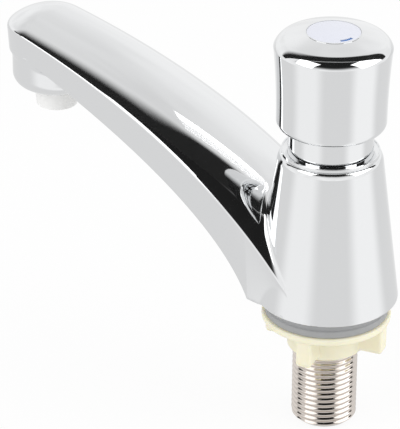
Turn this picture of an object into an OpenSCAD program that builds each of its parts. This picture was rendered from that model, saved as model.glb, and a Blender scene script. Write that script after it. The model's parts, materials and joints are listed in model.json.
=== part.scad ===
// Push timed basin tap: a chromed pillar with a rising spout, a push button, the
// timed cartridge inside, the outlet's aerator and the fixing below the deck.
// Millimetres, +Z up. The origin is the centre of the body's underside, where it
// stands on the deck, and the spout points along +X.

/* [Body] */
// Diameter of the body at the deck
base_d = 45.6; // [45:0.2:52]
// Diameter of the body at its top
top_d = 32.8; // [32.4:0.2:36]
// Height of the body's top above the deck
body_h = 50.6; // [49:0.2:56]
// Radius of the rounded shoulder below the body's top
top_round = 5; // [4:0.2:6]
// Slope of that shoulder where it ends at the top, in degrees from upright
top_round_end = 40; // [30:1:46]
// Depth of the socket that takes the shank
socket_depth = 7; // [6:0.5:8]
// Thickness of the web between the socket and the cartridge chamber
web_t = 2; // [1.5:0.5:3]
// Bore of the water way through that web
waterway_d = 12; // [10:0.5:13]

/* [Spout] */
// Distance from the body's axis to the outlet's axis
spout_reach = 110.6; // [105:0.2:120]
// Diameter of the spout's round nose, seen from above
nose_d = 30; // [29.6:0.2:34]
// How far the nose's centre lies past the outlet's axis
nose_ahead = 1.4; // [0:0.2:3]
// Height of the side crease where it leaves the body
crease_root_h = 8.2; // [7:0.1:12]
// Height of the side crease above the outlet
crease_tip_h = 63.4; // [60:0.2:68]
// Climb of the crease at the body, in degrees
crease_root_rise = 48; // [45:1:52]
// Climb of the crease at the nose, in degrees
crease_tip_rise = 12; // [8:1:18]
// Height of the crown above the creases at the body
crown_root_h = 8; // [7:0.2:10]
// Height of the crown above the creases at the nose
crown_tip_h = 4.4; // [4:0.2:8]
// Roundness of the crown, from 0 for a flat arc to 1 for a full half-ellipse
crown_full = 0.9; // [0.5:0.01:0.95]
// How far the sides swell out half-way along the spout
side_swell = 0.2; // [0:0.1:1.5]
// Distance from the body's axis to the heel, where the underside meets the deck
heel_x = 17.7; // [17:0.1:20]
// Height of the underside above the outlet
under_tip_h = 54.6; // [53:0.2:56]
// Climb of the underside at the heel, in degrees
under_root_rise = 63; // [58:1:66]
// Climb of the underside at the nose, in degrees
under_tip_rise = 18; // [14:1:20]
// How far each side leans in from the crease to the underside, at the body
lean_root = 1.8; // [1:0.2:3]
// How far each side leans in from the crease to the underside, at the nose
lean_tip = 0.6; // [0.2:0.2:1]
// Rounding of the underside's long edges
under_round = 0.8; // [0.4:0.2:1.5]
// Wall of the hollow spout
spout_wall = 3; // [2.5:0.25:3.5]
// Bore of the port from the cartridge chamber into the spout
port_d = 7.6; // [6.6:0.2:8]

/* [Outlet] */
// Diameter of the outlet boss
boss_d = 29; // [27:0.2:29.4]
// Height of the boss's lower face above the deck
outlet_h = 42.8; // [42:0.2:46]
// Rounding of the boss's lower edge
boss_round = 4.4; // [1:0.2:4.8]
// Diameter of the aerator's seat in the boss
aerator_d = 17; // [16:0.5:19]
// Depth of the aerator's seat in the boss
aerator_depth = 6; // [5:0.5:7]
// Outer diameter of the nozzle at its root
nozzle_d = 15; // [13:0.2:15.4]
// Outer diameter of the nozzle at its mouth
nozzle_mouth_d = 13.6; // [12:0.2:14]
// Bore of the nozzle
nozzle_bore = 10.6; // [10:0.2:11]
// How far the nozzle stands below the boss
nozzle_drop = 7.6; // [5:0.2:9]
// Thickness of the aerator's sealing ring
aerator_seal_t = 1.4; // [1:0.1:2]
// Thickness of the aerator's screen
screen_t = 0.5; // [0.3:0.1:0.8]
// Width of a square hole in that screen
screen_hole = 0.9; // [0.7:0.1:1]
// Spacing of those holes
screen_pitch = 1.3; // [1.2:0.1:1.6]
// Height of the core that straightens the stream
core_h = 3.4; // [2.6:0.2:3.8]
// Wall of that core
core_wall = 0.8; // [0.6:0.1:1]
// Width of the ledge in the nozzle that the core stands on
core_ledge = 0.5; // [0.4:0.1:0.7]

/* [Shank and fixing] */
// Major diameter of the pipe thread on the shank
thread_d = 20.955; // [20.6:0.005:21.2]
// Pitch of the pipe thread
thread_pitch = 1.814; // [1.5:0.001:2]
// Depth of the pipe thread
thread_depth = 1.16; // [0.8:0.02:1.3]
// Length of the shank below the deck
shank_drop = 44.2; // [38:0.2:55]
// Bore of the shank
shank_bore = 13.6; // [12:0.2:14]
// Chamfer at the shank's lower end
shank_chamfer = 1.4; // [0.8:0.1:1.6]
// Thickness of the washer between shank and body
shank_seal_t = 1; // [0.9:0.1:1.5]
// Wall of the strainer cup in the water way
strainer_wall = 0.8; // [0.6:0.1:0.9]
// Width of the strainer's lip, which rests on the shank's end
strainer_lip = 1; // [0.8:0.1:1.6]
// Diameter of a hole in the strainer
strainer_hole = 1.6; // [1:0.1:2]
// Spacing of those holes
strainer_pitch = 2.6; // [2.4:0.1:3]
// Diameter of the gasket under the body
gasket_d = 39.6; // [36:0.2:42]
// Thickness of that gasket
gasket_t = 5.6; // [3:0.2:7]
// Diameter of the nut's flange
flange_d = 41.4; // [38:0.2:44]
// Thickness of the nut's flange
flange_t = 2.4; // [2:0.1:4]
// Diameter of the nut's hub
hub_d = 24.6; // [24:0.2:27]
// Height of the nut, flange and hub together
nut_h = 12.6; // [11:0.2:15]
// Number of wings on the nut
wing_count = 4; // [2:1:6]
// Thickness of a wing
wing_t = 5.2; // [3:0.2:6]
// Distance from the nut's axis to a wing's outer face
wing_reach = 20; // [17:0.2:20.4]
// How far a wing reaches below the flange
wing_drop = 9.4; // [6:0.2:11]
// Cut of a wing's outer corner
wing_round = 2.4; // [1:0.2:3]
// Direction of the first wing, in degrees from the spout
wing_turn = 14; // [0:1:89]

/* [Cartridge] */
// Diameter of the cartridge chamber in the body
chamber_d = 24; // [23.6:0.2:24.4]
// Diameter of the bore in the body's top that takes the neck
head_bore = 27.1; // [26.8:0.1:27.4]
// Height of the room above the seat, which the ports leave
outlet_room_h = 5.5; // [5:0.25:6.5]
// Bore of the valve room below the seat
valve_room_d = 16; // [15.6:0.2:16.4]
// Bore of the room above the seat
outlet_room_d = 13; // [12.6:0.2:14]
// Number of ports round the cartridge
port_count = 4; // [3:1:6]
// Bore of each port in the cartridge
cartridge_port_d = 4.6; // [3.5:0.1:5]
// Bore of the valve seat
seat_bore = 10; // [9:0.2:10.4]
// Height of the seat ring
seat_t = 2; // [1.5:0.25:2.5]
// Height of the gland round the stem
gland_t = 6; // [5.5:0.25:6.5]
// Thickness of the cartridge's clamped flange
cartridge_flange_t = 2; // [1.5:0.25:2.25]
// Cord diameter of the O-rings
o_ring_t = 1.6; // [1.4:0.1:1.8]
// Thickness of the washer under the neck
neck_gasket_t = 1; // [0.6:0.1:1.4]
// Diameter of the stem
stem_d = 7; // [6.4:0.2:7.4]
// Diameter of the rubber valve disc
washer_d = 13; // [12.6:0.2:13.2]
// Thickness of the rubber valve disc
washer_t = 2.4; // [2:0.2:3]
// Thickness of the cup's floor under the disc
cup_floor_t = 1.4; // [1:0.2:2]
// Wall of the cup round the disc
cup_wall = 0.6; // [0.5:0.1:0.7]
// Diameter of the screws' shanks
screw_d = 4; // [3:0.1:4.2]
// Diameter of the screws' heads
screw_head_d = 7; // [6:0.2:7.2]
// Height of the screws' heads
screw_head_t = 1.8; // [1.4:0.1:2.2]
// Depth of the screw holes in the stem
screw_hole_depth = 9; // [7:0.5:11]
// Thickness of the timing piston
piston_t = 3; // [2.5:0.25:4]
// Thickness of the piston's cup seal
piston_cup_t = 1.4; // [1:0.1:1.8]
// Thickness of the clips on stem and bush
clip_t = 0.9; // [0.6:0.1:1]
// Depth of the grooves that hold those clips
clip_groove = 0.7; // [0.5:0.1:0.9]
// How far a clip stands out of its groove
clip_proud = 1; // [0.6:0.1:1.4]
// Diameter of the timing screw
timing_d = 1.8; // [1.4:0.1:2]
// Wire diameter of the return spring
wire_d = 1.3; // [1:0.1:1.5]
// Mean diameter of the return spring
coil_d = 12.6; // [12:0.2:13]
// Number of turns of the return spring
coil_turns = 7; // [5:0.5:8]
// Thickness of the washer under the spring
spring_seat_t = 0.8; // [0.5:0.1:1]

/* [Button] */
// Diameter of the neck under the button
neck_d = 27; // [26.7:0.1:27.3]
// Bore of the neck, in which the piston runs
neck_bore = 17; // [16.6:0.2:17.4]
// Height of the sloped ring on the body's top
collar_h = 1.2; // [1:0.1:2]
// Diameter of that ring
collar_d = 29; // [28.4:0.2:30.6]
// Height of that ring's upright edge
collar_edge_h = 0.7; // [0.4:0.1:0.9]
// Clear height of the neck between ring and button
neck_show = 7.7; // [6.8:0.1:9]
// Travel of the button
travel = 6.4; // [5:0.1:6.5]
// Length of the neck that stays inside the button
neck_cover = 10; // [9:0.5:12]
// Thickness of the guide bush in the neck's top
bush_t = 3.4; // [3:0.2:4]
// Width of the ledge in the neck that the bush stands on
bush_ledge = 1; // [0.6:0.1:1.4]
// Outer diameter of the button at its foot
cap_low_d = 34.6; // [34.4:0.2:38]
// Outer diameter of the button at its rim
cap_rim_d = 37; // [36.6:0.2:41]
// Height of the rim above the button's foot
cap_rim_h = 26.9; // [26.6:0.1:32]
// Rounding of the button's foot
cap_foot_round = 2.4; // [1:0.2:2.6]
// Radius of the button's domed top
cap_dome_r = 52; // [48:1:80]
// Radius of the rounded shoulder inside the rim
cap_shoulder_r = 5.3; // [4.5:0.1:5.6]
// Angle of the shoulder where it meets the rim, in degrees
cap_shoulder_end = 71; // [66:1:76]
// Depth from the dome's edge to the button's inner roof
cap_roof_t = 5.4; // [4.5:0.1:6]
// Diameter of the boss inside the button that takes the stem
cap_boss_d = 13; // [11.5:0.5:15]
// Thickness of the button's web between the stem's end and the screw's head
cap_web_t = 1.6; // [1.2:0.1:2]
// Diameter of the index disc
index_d = 16.8; // [15:0.2:18]
// Thickness of the index disc
index_t = 2.2; // [1.6:0.1:2.4]
// Middle radius of the arc mark in the disc
mark_r = 7.2; // [6.6:0.1:7.4]
// Width of that mark
mark_w = 0.9; // [0.6:0.1:1.2]
// Depth of that mark
mark_t = 0.5; // [0.3:0.1:0.8]
// Where the mark starts, in degrees from the spout
mark_from = 141; // [0:1:300]
// Length of the mark, in degrees
mark_span = 34; // [10:1:60]

/* [Clearances] */
// Radial gap between pieces that are fixed together
fit_gap = 0.05; // [0.03:0.01:0.08]
// Radial gap between pieces that slide in one another
run_gap = 0.1; // [0.06:0.01:0.12]
// Gap between pieces that only pass each other
air_gap = 0.3; // [0.2:0.05:0.4]

/* [Hidden] */
$fn = 64;

// Overshoot of a cut past the face that it opens
past = 1;

// Levels of the cartridge stack, from the deck upwards
chamber_floor = socket_depth + web_t;
valve_stack = washer_t + cup_floor_t + screw_head_t;
seat_z = chamber_floor + valve_stack + travel + air_gap;
outlet_room_z = seat_z + seat_t;
gland_z = outlet_room_z + outlet_room_h;
gland_top = gland_z + gland_t;
head_floor = gland_top - cartridge_flange_t;
neck_z = gland_top + neck_gasket_t;
spring_z = gland_top + spring_seat_t;
port_z = outlet_room_z + outlet_room_h / 2;

// Levels of the button, from the body's top upwards
collar_top = body_h + collar_h;
cap_z = collar_top + neck_show;
neck_top = cap_z + neck_cover;
clip_z = neck_top - 2 * clip_t;
bush_z = clip_z - bush_t;
piston_top = bush_z - clip_t - air_gap;
piston_z = piston_top - piston_t;
rim_z = cap_z + cap_rim_h;
cap_boss_z = neck_top + travel + air_gap;

// The button's top: a dome, tangent to the shoulder's arc, which ends at the rim
rim_r = cap_rim_d / 2;
shoulder_mid_r = rim_r - cap_shoulder_r * sin(cap_shoulder_end);
shoulder_mid_z = rim_z - cap_shoulder_r * cos(cap_shoulder_end);
dome_end = asin(shoulder_mid_r / (cap_dome_r - cap_shoulder_r));
dome_mid_z = shoulder_mid_z - (cap_dome_r - cap_shoulder_r) * cos(dome_end);
cap_top = dome_mid_z + cap_dome_r;
dome_edge_z = dome_mid_z + cap_dome_r * cos(dome_end);
cap_roof_z = dome_edge_z - cap_roof_t;
index_r = index_d / 2;
index_top = dome_mid_z + sqrt(pow(cap_dome_r, 2) - pow(index_r, 2));
index_z = index_top - index_t;
screw_pocket_d = screw_head_d + 4 * air_gap;
cap_screw_z = index_z - screw_head_t - 2 * air_gap;
stem_top = cap_screw_z - cap_web_t;

// Fixing below the deck
nut_z = -gasket_t;
thread_r = thread_d / 2;
nut_bore = thread_d + 2 * run_gap;

// Outlet
aerator_top = outlet_h + aerator_depth;
shell_flange_t = aerator_depth - aerator_seal_t - screen_t - air_gap;
shell_z = aerator_top - aerator_seal_t - screen_t;
shell_flange_z = shell_z - shell_flange_t;

// Radius of the tapered body at a height
body_taper = (base_d - top_d) / 2 / body_h;
function body_r(z) = base_d / 2 - body_taper * z;

// The shoulder's arc, tangent to that taper
top_round_start = atan(body_taper);
top_mid_z = body_h - top_round * sin(top_round_end);
top_mid_r = body_r(top_mid_z) - top_round / cos(top_round_start);

// Spout: height curves of the crease and the underside over the distance from the axis.
// Each is a quadratic curve whose middle point is where its end tangents meet.
nose_r = nose_d / 2;
nose_x = spout_reach + nose_ahead;
root_r = body_r(crease_root_h);
spout_taper = asin((root_r - nose_r) / nose_x);
crease_curve = tangent_curve(
    [0, crease_root_h], [nose_x, crease_tip_h], crease_root_rise, crease_tip_rise);
under_curve = tangent_curve(
    [heel_x, 0], [spout_reach, under_tip_h], under_root_rise, under_tip_rise);

function tangent_curve(a, c, rise_a, rise_c) =
    let (x = (c[1] - a[1] + tan(rise_a) * a[0] - tan(rise_c) * c[0]) / (tan(rise_a) - tan(rise_c)))
    [a, [x, a[1] + tan(rise_a) * (x - a[0])], c];

function curve_height(p, x) =
    let (
        bow = p[0][0] - 2 * p[1][0] + p[2][0],
        run = 2 * (p[1][0] - p[0][0]),
        t = 2 * (x - p[0][0]) / (run + sqrt(max(0, run * run + 4 * bow * (x - p[0][0]))))
    )
    pow(1 - t, 2) * p[0][1] + 2 * t * (1 - t) * p[1][1] + t * t * p[2][1];

// The crease levels off round the nose
function crease_z(x) =
    let (ahead = max(0, x - nose_x))
    curve_height(crease_curve, min(x, nose_x))
        + tan(crease_tip_rise) * ahead * (1 - ahead / nose_r);
function under_z(x) = x < heel_x ? 0 : curve_height(under_curve, min(x, spout_reach));

// Half the spout's width: sides with a slight swell, tangent to the nose's circle
nose_start = nose_x + nose_r * sin(spout_taper);
function half_width(x) =
    x < nose_start
        ? (root_r - x * sin(spout_taper)) / cos(spout_taper)
            + side_swell * 4 * x / nose_start * (1 - x / nose_start)
        : sqrt(max(0, pow(nose_r, 2) - pow(x - nose_x, 2)));

// A size that changes evenly from the body's axis to the nose
function spout_mix(at_root, at_tip, x) = at_root + (at_tip - at_root) * min(1, x / nose_x);

// Top of the spout: part of a half-ellipse across it, turned to a cap over the nose
crown_base = sqrt(1 - pow(crown_full, 2));
function crown_z(x, y) =
    let (
        w = x < nose_x ? half_width(x) : nose_r,
        off = min(w, x < nose_x ? abs(y) : norm([x - nose_x, y])),
        arc = sqrt(1 - pow(crown_full * off / w, 2)) - crown_base
    )
    crease_z(x) + spout_mix(crown_root_h, crown_tip_h, x) * arc / (1 - crown_base);

// Upright thickness of a wall that is measured square to a climbing surface
function upright(wall, z_low, z_high, run) = wall * norm([1, (z_high - z_low) / run]);

// One cross-section of the spout, drawn in by a wall, as points [x, y, z]
crown_steps = 10;
corner_steps = 3;
slope_run = 1;
least_side = 0.2;
function spout_ring(x, wall) =
    let (
        w = half_width(x) - wall,
        foot = max(w - spout_mix(lean_root, lean_tip, x), w / 2),
        low = under_z(x) + upright(wall, under_z(x), under_z(x + slope_run), slope_run),
        high = upright(wall, crease_z(x), crease_z(x + slope_run), slope_run),
        round = min(under_round, foot / 2)
    )
    concat(
        [for (i = [0:corner_steps]) let (a = 180 + 90 * i / corner_steps)
            [x, -foot + round + round * cos(a), low + round + round * sin(a)]],
        [for (i = [0:corner_steps]) let (a = 270 + 90 * i / corner_steps)
            [x, foot - round + round * cos(a), low + round + round * sin(a)]],
        [for (i = [0:crown_steps]) let (y = w * (1 - 2 * i / crown_steps))
            [x, y, max(crown_z(x, y) - high, low + 2 * round + least_side)]]
    );

// Skin over a row of cross-sections that all have the same number of points
module loft(rings) {
    n = len(rings[0]);
    last = len(rings) - 1;
    sides = [
        for (i = [0:last - 1], j = [0:n - 1])
            let (a = i * n + j, b = i * n + (j + 1) % n, c = b + n, d = a + n)
            each [[a, d, c], [a, c, b]]
    ];
    ends = [
        [for (j = [0:n - 1]) j],
        [for (j = [n - 1:-1:0]) last * n + j]
    ];
    polyhedron([for (ring = rings) each ring], concat(sides, ends), convexity = 6);
}

// Ring of rectangular section
module ring(outer_d, inner_d, z, h) {
    translate([0, 0, z]) difference() {
        cylinder(d = outer_d, h = h);
        translate([0, 0, -past]) cylinder(d = inner_d, h = h + 2 * past);
    }
}

// Ring of round section
module o_ring(mid_d, cord, z) {
    translate([0, 0, z]) rotate_extrude() translate([mid_d / 2, 0]) circle(d = cord, $fn = 32);
}

// Screw with a flat head: the head stands on z and the shank runs up or down from it
module screw(z, head_t, shank, up) {
    slot_w = head_t / 2;
    translate([0, 0, z]) mirror([0, 0, up ? 0 : 1]) {
        difference() {
            translate([0, 0, -head_t]) cylinder(d = screw_head_d, h = head_t);
            translate([-screw_head_d, -slot_w / 2, -head_t - past])
                cube([2 * screw_head_d, slot_w, head_t / 2 + past]);
        }
        cylinder(d = screw_d, h = shank);
    }
}

// Steps of the arc at the body's top
top_steps = 5;

// Stations of the spout: from the body's axis to the heel, on to the nose, then round its circle
spout_steps = 16;
nose_steps = 7;
nose_end = 87;
spout_stations = concat(
    [0, heel_x / 2],
    [for (i = [0:spout_steps]) heel_x + (nose_start - heel_x) * i / spout_steps],
    [for (i = [1:nose_steps])
        nose_x + nose_r * sin(spout_taper + (nose_end - spout_taper) * i / nose_steps)]
);
// Stations of the hollow, from behind the chamber's wall to the middle of the nose
hollow_start = chamber_d / 2 + 2 * spout_wall;
hollow_steps = 8;
hollow_stations = concat(
    [for (i = [0:hollow_steps]) hollow_start + (nose_x - hollow_start) * i / hollow_steps],
    [nose_x + nose_r / 2]
);

module tap_body() color("gainsboro") difference() {
    union() {
        rotate_extrude() polygon(concat(
            [[0, 0], [base_d / 2, 0]],
            [for (i = [0:top_steps])
                let (a = top_round_start + (top_round_end - top_round_start) * i / top_steps)
                [top_mid_r + top_round * cos(a), top_mid_z + top_round * sin(a)]],
            [[0, body_h]]
        ));
        loft([for (x = spout_stations) spout_ring(x, 0)]);
        translate([spout_reach, 0, outlet_h]) rotate_extrude() polygon(concat(
            [[0, 0]],
            [for (a = [0:18:90])
                [boss_d / 2 - boss_round * (1 - sin(a)), boss_round * (1 - cos(a))]],
            [[boss_d / 2, crease_tip_h - outlet_h], [0, crease_tip_h - outlet_h]]
        ));
    }
    // hollow of the spout, and the port that feeds it
    loft([for (x = hollow_stations) spout_ring(x, spout_wall)]);
    translate([0, 0, port_z]) rotate([0, 90, 0]) cylinder(d = port_d, h = hollow_start + spout_wall);
    // stepped bore for the cartridge and the neck
    translate([0, 0, head_floor]) cylinder(d = head_bore, h = body_h);
    translate([0, 0, chamber_floor]) cylinder(d = chamber_d, h = body_h);
    translate([0, 0, -past]) cylinder(d = waterway_d, h = body_h);
    // socket for the shank
    translate([0, 0, -past]) cylinder(d = thread_d + 2 * fit_gap, h = socket_depth + past);
    // seat of the aerator and the way down to it
    translate([spout_reach, 0, outlet_h - past]) cylinder(d = aerator_d, h = aerator_depth + past);
    translate([spout_reach, 0, outlet_h]) cylinder(d = nozzle_d, h = crease_tip_h - outlet_h - spout_wall);
}

// Ring round the neck: an upright edge, then a slope up to the neck
module collar_ring() color("silver") rotate_extrude() polygon([
    [collar_bore / 2, body_h],
    [collar_d / 2, body_h],
    [collar_d / 2, body_h + collar_edge_h],
    [collar_bore / 2, collar_top]
]);
collar_bore = neck_d + 2 * fit_gap;

module neck_sleeve() color("silver") difference() {
    translate([0, 0, neck_z]) cylinder(d = neck_d, h = neck_top - neck_z);
    translate([0, 0, neck_z - past]) cylinder(d = neck_bore, h = neck_top);
    translate([0, 0, bush_z]) cylinder(d = bush_bore, h = neck_top);
    translate([0, 0, clip_z]) cylinder(d = clip_groove_d, h = clip_t + 2 * fit_gap);
}
bush_bore = neck_bore + 2 * bush_ledge;
clip_groove_d = bush_bore + 2 * clip_groove;

module guide_bush() color("white") ring(bush_bore - 2 * fit_gap, stem_d + 2 * run_gap, bush_z, bush_t);

// Snap ring with the gap that lets it be squeezed in
module split_ring(outer_d, inner_d, z, h) {
    difference() {
        ring(outer_d, inner_d, z, h);
        translate([0, -inner_d / 6, z - past]) cube([outer_d, inner_d / 3, h + 2 * past]);
    }
}

module bush_circlip() color("dimgray")
    split_ring(clip_groove_d - 2 * fit_gap, bush_bore - 2 * clip_proud, clip_z + fit_gap, clip_t);

module button_cap() color("gainsboro") difference() {
    rotate_extrude() polygon(concat(
        [[0, cap_z]],
        [for (a = [0:15:90])
            [cap_low_d / 2 - cap_foot_round * (1 - sin(a)), cap_z + cap_foot_round * (1 - cos(a))]],
        [for (i = [1:wall_steps]) let (t = i / wall_steps)
            [cap_low_d / 2 + (cap_rim_d - cap_low_d) / 2 * t * t,
             cap_z + cap_foot_round + (cap_rim_h - cap_foot_round) * t]],
        [for (i = [1:shoulder_steps])
            let (a = cap_shoulder_end + (dome_end - cap_shoulder_end) * i / shoulder_steps)
            [shoulder_mid_r + cap_shoulder_r * sin(a), shoulder_mid_z + cap_shoulder_r * cos(a)]],
        [for (i = [1:dome_steps]) let (a = dome_end * (1 - i / dome_steps))
            [cap_dome_r * sin(a), dome_mid_z + cap_dome_r * cos(a)]]
    ));
    // room for the neck, round the boss that takes the stem
    difference() {
        translate([0, 0, cap_z - past])
            cylinder(d = neck_d + 2 * air_gap, h = cap_roof_z - cap_z + past);
        translate([0, 0, cap_boss_z]) cylinder(d = cap_boss_d, h = cap_roof_z);
    }
    translate([0, 0, cap_z]) cylinder(d = stem_d + 2 * fit_gap, h = stem_top - cap_z);
    translate([0, 0, cap_z]) cylinder(d = screw_d + 2 * run_gap, h = cap_top - cap_z);
    translate([0, 0, cap_screw_z]) cylinder(d = screw_pocket_d, h = cap_top);
    translate([0, 0, index_z]) cylinder(d = index_d + 2 * fit_gap, h = cap_top);
}
wall_steps = 8;
shoulder_steps = 8;
dome_steps = 6;

// Part of a ring between two radii, over an angle from a start direction
module arc_band(mid_r, w, z, h, from, span) {
    translate([0, 0, z]) rotate([0, 0, from]) rotate_extrude(angle = span)
        translate([mid_r - w / 2, 0]) square([w, h]);
}

module index_disc() color("ghostwhite") difference() {
    intersection() {
        translate([0, 0, index_z]) cylinder(d = index_d, h = cap_top - index_z);
        translate([0, 0, dome_mid_z]) sphere(r = cap_dome_r, $fn = 128);
    }
    arc_band(mark_r, mark_w + 2 * fit_gap, mark_z, cap_top, mark_from, mark_span);
}
mark_z = index_top - mark_t;

module index_mark() color("royalblue")
    arc_band(mark_r, mark_w, mark_z, mark_t, mark_from + mark_gap, mark_span - 2 * mark_gap);
mark_gap = fit_gap / mark_r * 180 / PI;

module cap_screw() color("dimgray")
    screw(cap_screw_z, screw_head_t, cap_screw_z - stem_top + screw_hole_depth - past, false);

module stem() color("goldenrod") difference() {
    translate([0, 0, seat_z]) cylinder(d = stem_d, h = stem_top - seat_z);
    translate([0, 0, seat_z - past]) cylinder(d = screw_d + 2 * fit_gap, h = screw_hole_depth + past);
    translate([0, 0, stem_top - screw_hole_depth])
        cylinder(d = screw_d + 2 * fit_gap, h = screw_hole_depth + past);
    // groove of the clip over the piston
    ring(stem_d + past, stem_groove_d, piston_top, clip_t);
}
stem_groove_d = stem_d - 2 * clip_groove;

module piston_clip() color("dimgray")
    split_ring(stem_d + 2 * clip_proud, stem_groove_d + 2 * fit_gap, piston_top, clip_t - fit_gap);

module piston() color("ivory") difference() {
    ring(neck_bore - 2 * run_gap, stem_d + 2 * fit_gap, piston_z, piston_t);
    translate([timing_at, 0, piston_z - past]) cylinder(d = timing_d + 2 * fit_gap, h = piston_t + 2 * past);
}
timing_at = (neck_bore + stem_d) / 4;

// Rubber cup under the piston, its lip spreading to the bore
module piston_cup() color("black") difference() {
    translate([0, 0, piston_z - piston_cup_t]) rotate_extrude() polygon([
        [stem_d / 2 + fit_gap, piston_cup_t],
        [neck_bore / 2 - 2 * run_gap, piston_cup_t],
        [neck_bore / 2 - run_gap, 0],
        [neck_bore / 2 - 4 * run_gap, 0],
        [neck_bore / 2 - 10 * run_gap, piston_cup_t / 2],
        [stem_d / 2 + fit_gap, piston_cup_t / 2]
    ]);
    translate([timing_at, 0, piston_z - piston_cup_t - past])
        cylinder(d = timing_d + 2 * fit_gap, h = piston_cup_t + 2 * past);
}

// Bleed screw, sunk in its hole clear of the spring's last turn
module timing_screw() color("silver")
    translate([timing_at, 0, piston_z]) cylinder(d = timing_d, h = piston_t);

module return_spring() color("slategray")
    coil(spring_z + wire_d / 2, piston_z - piston_cup_t / 2 - wire_d / 2,
         coil_d / 2, wire_d / 2, coil_turns);

// Helical tube between two heights
coil_rings = 16;
coil_sides = 8;
module coil(z0, z1, r, wire_r, turns) {
    steps = round(turns * coil_rings);
    loft([
        for (i = [0:steps]) let (a = 360 * turns * i / steps, z = z0 + (z1 - z0) * i / steps)
            [for (j = [coil_sides - 1:-1:0]) let (b = 360 * j / coil_sides, q = r + wire_r * cos(b))
                [q * cos(a), q * sin(a), z + wire_r * sin(b)]]
    ]);
}

module spring_seat() color("lightsteelblue")
    ring(neck_bore - 2 * run_gap, stem_d + 4 * air_gap, gland_top, spring_seat_t);

module neck_gasket() color("sienna")
    ring(head_bore - 2 * run_gap, neck_bore + 2 * run_gap, gland_top, neck_gasket_t);

module cartridge_housing() color("darkgoldenrod") difference() {
    union() {
        translate([0, 0, chamber_floor])
            cylinder(d = chamber_d - 2 * fit_gap, h = gland_top - chamber_floor);
        translate([0, 0, head_floor]) cylinder(d = head_bore - 2 * fit_gap, h = cartridge_flange_t);
    }
    translate([0, 0, chamber_floor - past])
        cylinder(d = valve_room_d, h = outlet_room_z - chamber_floor + past);
    translate([0, 0, chamber_floor]) cylinder(d = outlet_room_d, h = gland_z - chamber_floor);
    translate([0, 0, chamber_floor]) cylinder(d = stem_d + 2 * run_gap, h = gland_top);
    // gallery outside the ports
    ring(chamber_d + past, gallery_d, port_z - gallery_h / 2, gallery_h);
    for (i = [0:port_count - 1])
        translate([0, 0, port_z]) rotate([0, 90, 360 * (i + 0.5) / port_count])
            cylinder(d = cartridge_port_d, h = chamber_d);
    // grooves of the O-rings
    for (z = [lower_o_ring_z, upper_o_ring_z])
        ring(chamber_d + past, chamber_d - 2 * o_ring_t - 2 * fit_gap, z - groove_h / 2, groove_h);
    ring(stem_d + 2 * o_ring_t + 4 * run_gap, past, gland_o_ring_z - groove_h / 2, groove_h);
}
gallery_d = chamber_d - 4;
gallery_h = outlet_room_h;
groove_h = o_ring_t + 2 * run_gap;
lower_o_ring_z = seat_z - o_ring_t;
upper_o_ring_z = (gland_z + head_floor) / 2;
gland_o_ring_z = gland_z + gland_t / 2;

module lower_o_ring() color("black")
    o_ring(chamber_d - o_ring_t - fit_gap, o_ring_t - fit_gap, lower_o_ring_z);

module upper_o_ring() color("black")
    o_ring(chamber_d - o_ring_t - fit_gap, o_ring_t - fit_gap, upper_o_ring_z);

module gland_o_ring() color("black")
    o_ring(stem_d + o_ring_t + 3 * run_gap, o_ring_t, gland_o_ring_z);

module seat_ring() color("silver") ring(valve_room_d - 2 * fit_gap, seat_bore, seat_z, seat_t);

module valve_washer() color("black")
    ring(washer_d, screw_d + 2 * fit_gap, seat_z - washer_t, washer_t);

module washer_cup() color("goldenrod") difference() {
    translate([0, 0, seat_z - washer_t - cup_floor_t])
        cylinder(d = washer_d + 2 * (fit_gap + cup_wall), h = cup_floor_t + washer_t * 2 / 3);
    translate([0, 0, seat_z - washer_t]) cylinder(d = washer_d + 2 * fit_gap, h = washer_t);
    translate([0, 0, chamber_floor]) cylinder(d = screw_d + 2 * fit_gap, h = seat_z);
}

module washer_screw() color("dimgray")
    screw(seat_z - washer_t - cup_floor_t, screw_head_t,
          washer_t + cup_floor_t + screw_hole_depth - past, true);

// Perforated cup in the water way of the web, its lip trapped on the shank's end
module inlet_strainer() color("white") difference() {
    union() {
        translate([0, 0, socket_depth - shank_seal_t]) cylinder(d = strainer_flange_d, h = strainer_wall);
        translate([0, 0, socket_depth - shank_seal_t])
            cylinder(d = waterway_d - 2 * run_gap, h = shank_seal_t + web_t - air_gap);
    }
    translate([0, 0, socket_depth - shank_seal_t - past])
        cylinder(d = waterway_d - 2 * run_gap - 2 * strainer_wall,
                 h = shank_seal_t + web_t - air_gap - strainer_wall + past);
    for (hole = strainer_holes)
        translate([hole[0], hole[1], 0]) cylinder(d = strainer_hole, h = chamber_floor, $fn = 24);
}
strainer_holes = concat([[0, 0]], [
    for (i = [0:5]) [strainer_pitch * cos(60 * i), strainer_pitch * sin(60 * i)]
]);
strainer_flange_d = shank_bore + 2 * strainer_lip;

module shank_seal() color("sienna")
    ring(thread_d - 2 * fit_gap, strainer_flange_d + 2 * fit_gap, socket_depth - shank_seal_t, shank_seal_t);

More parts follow.
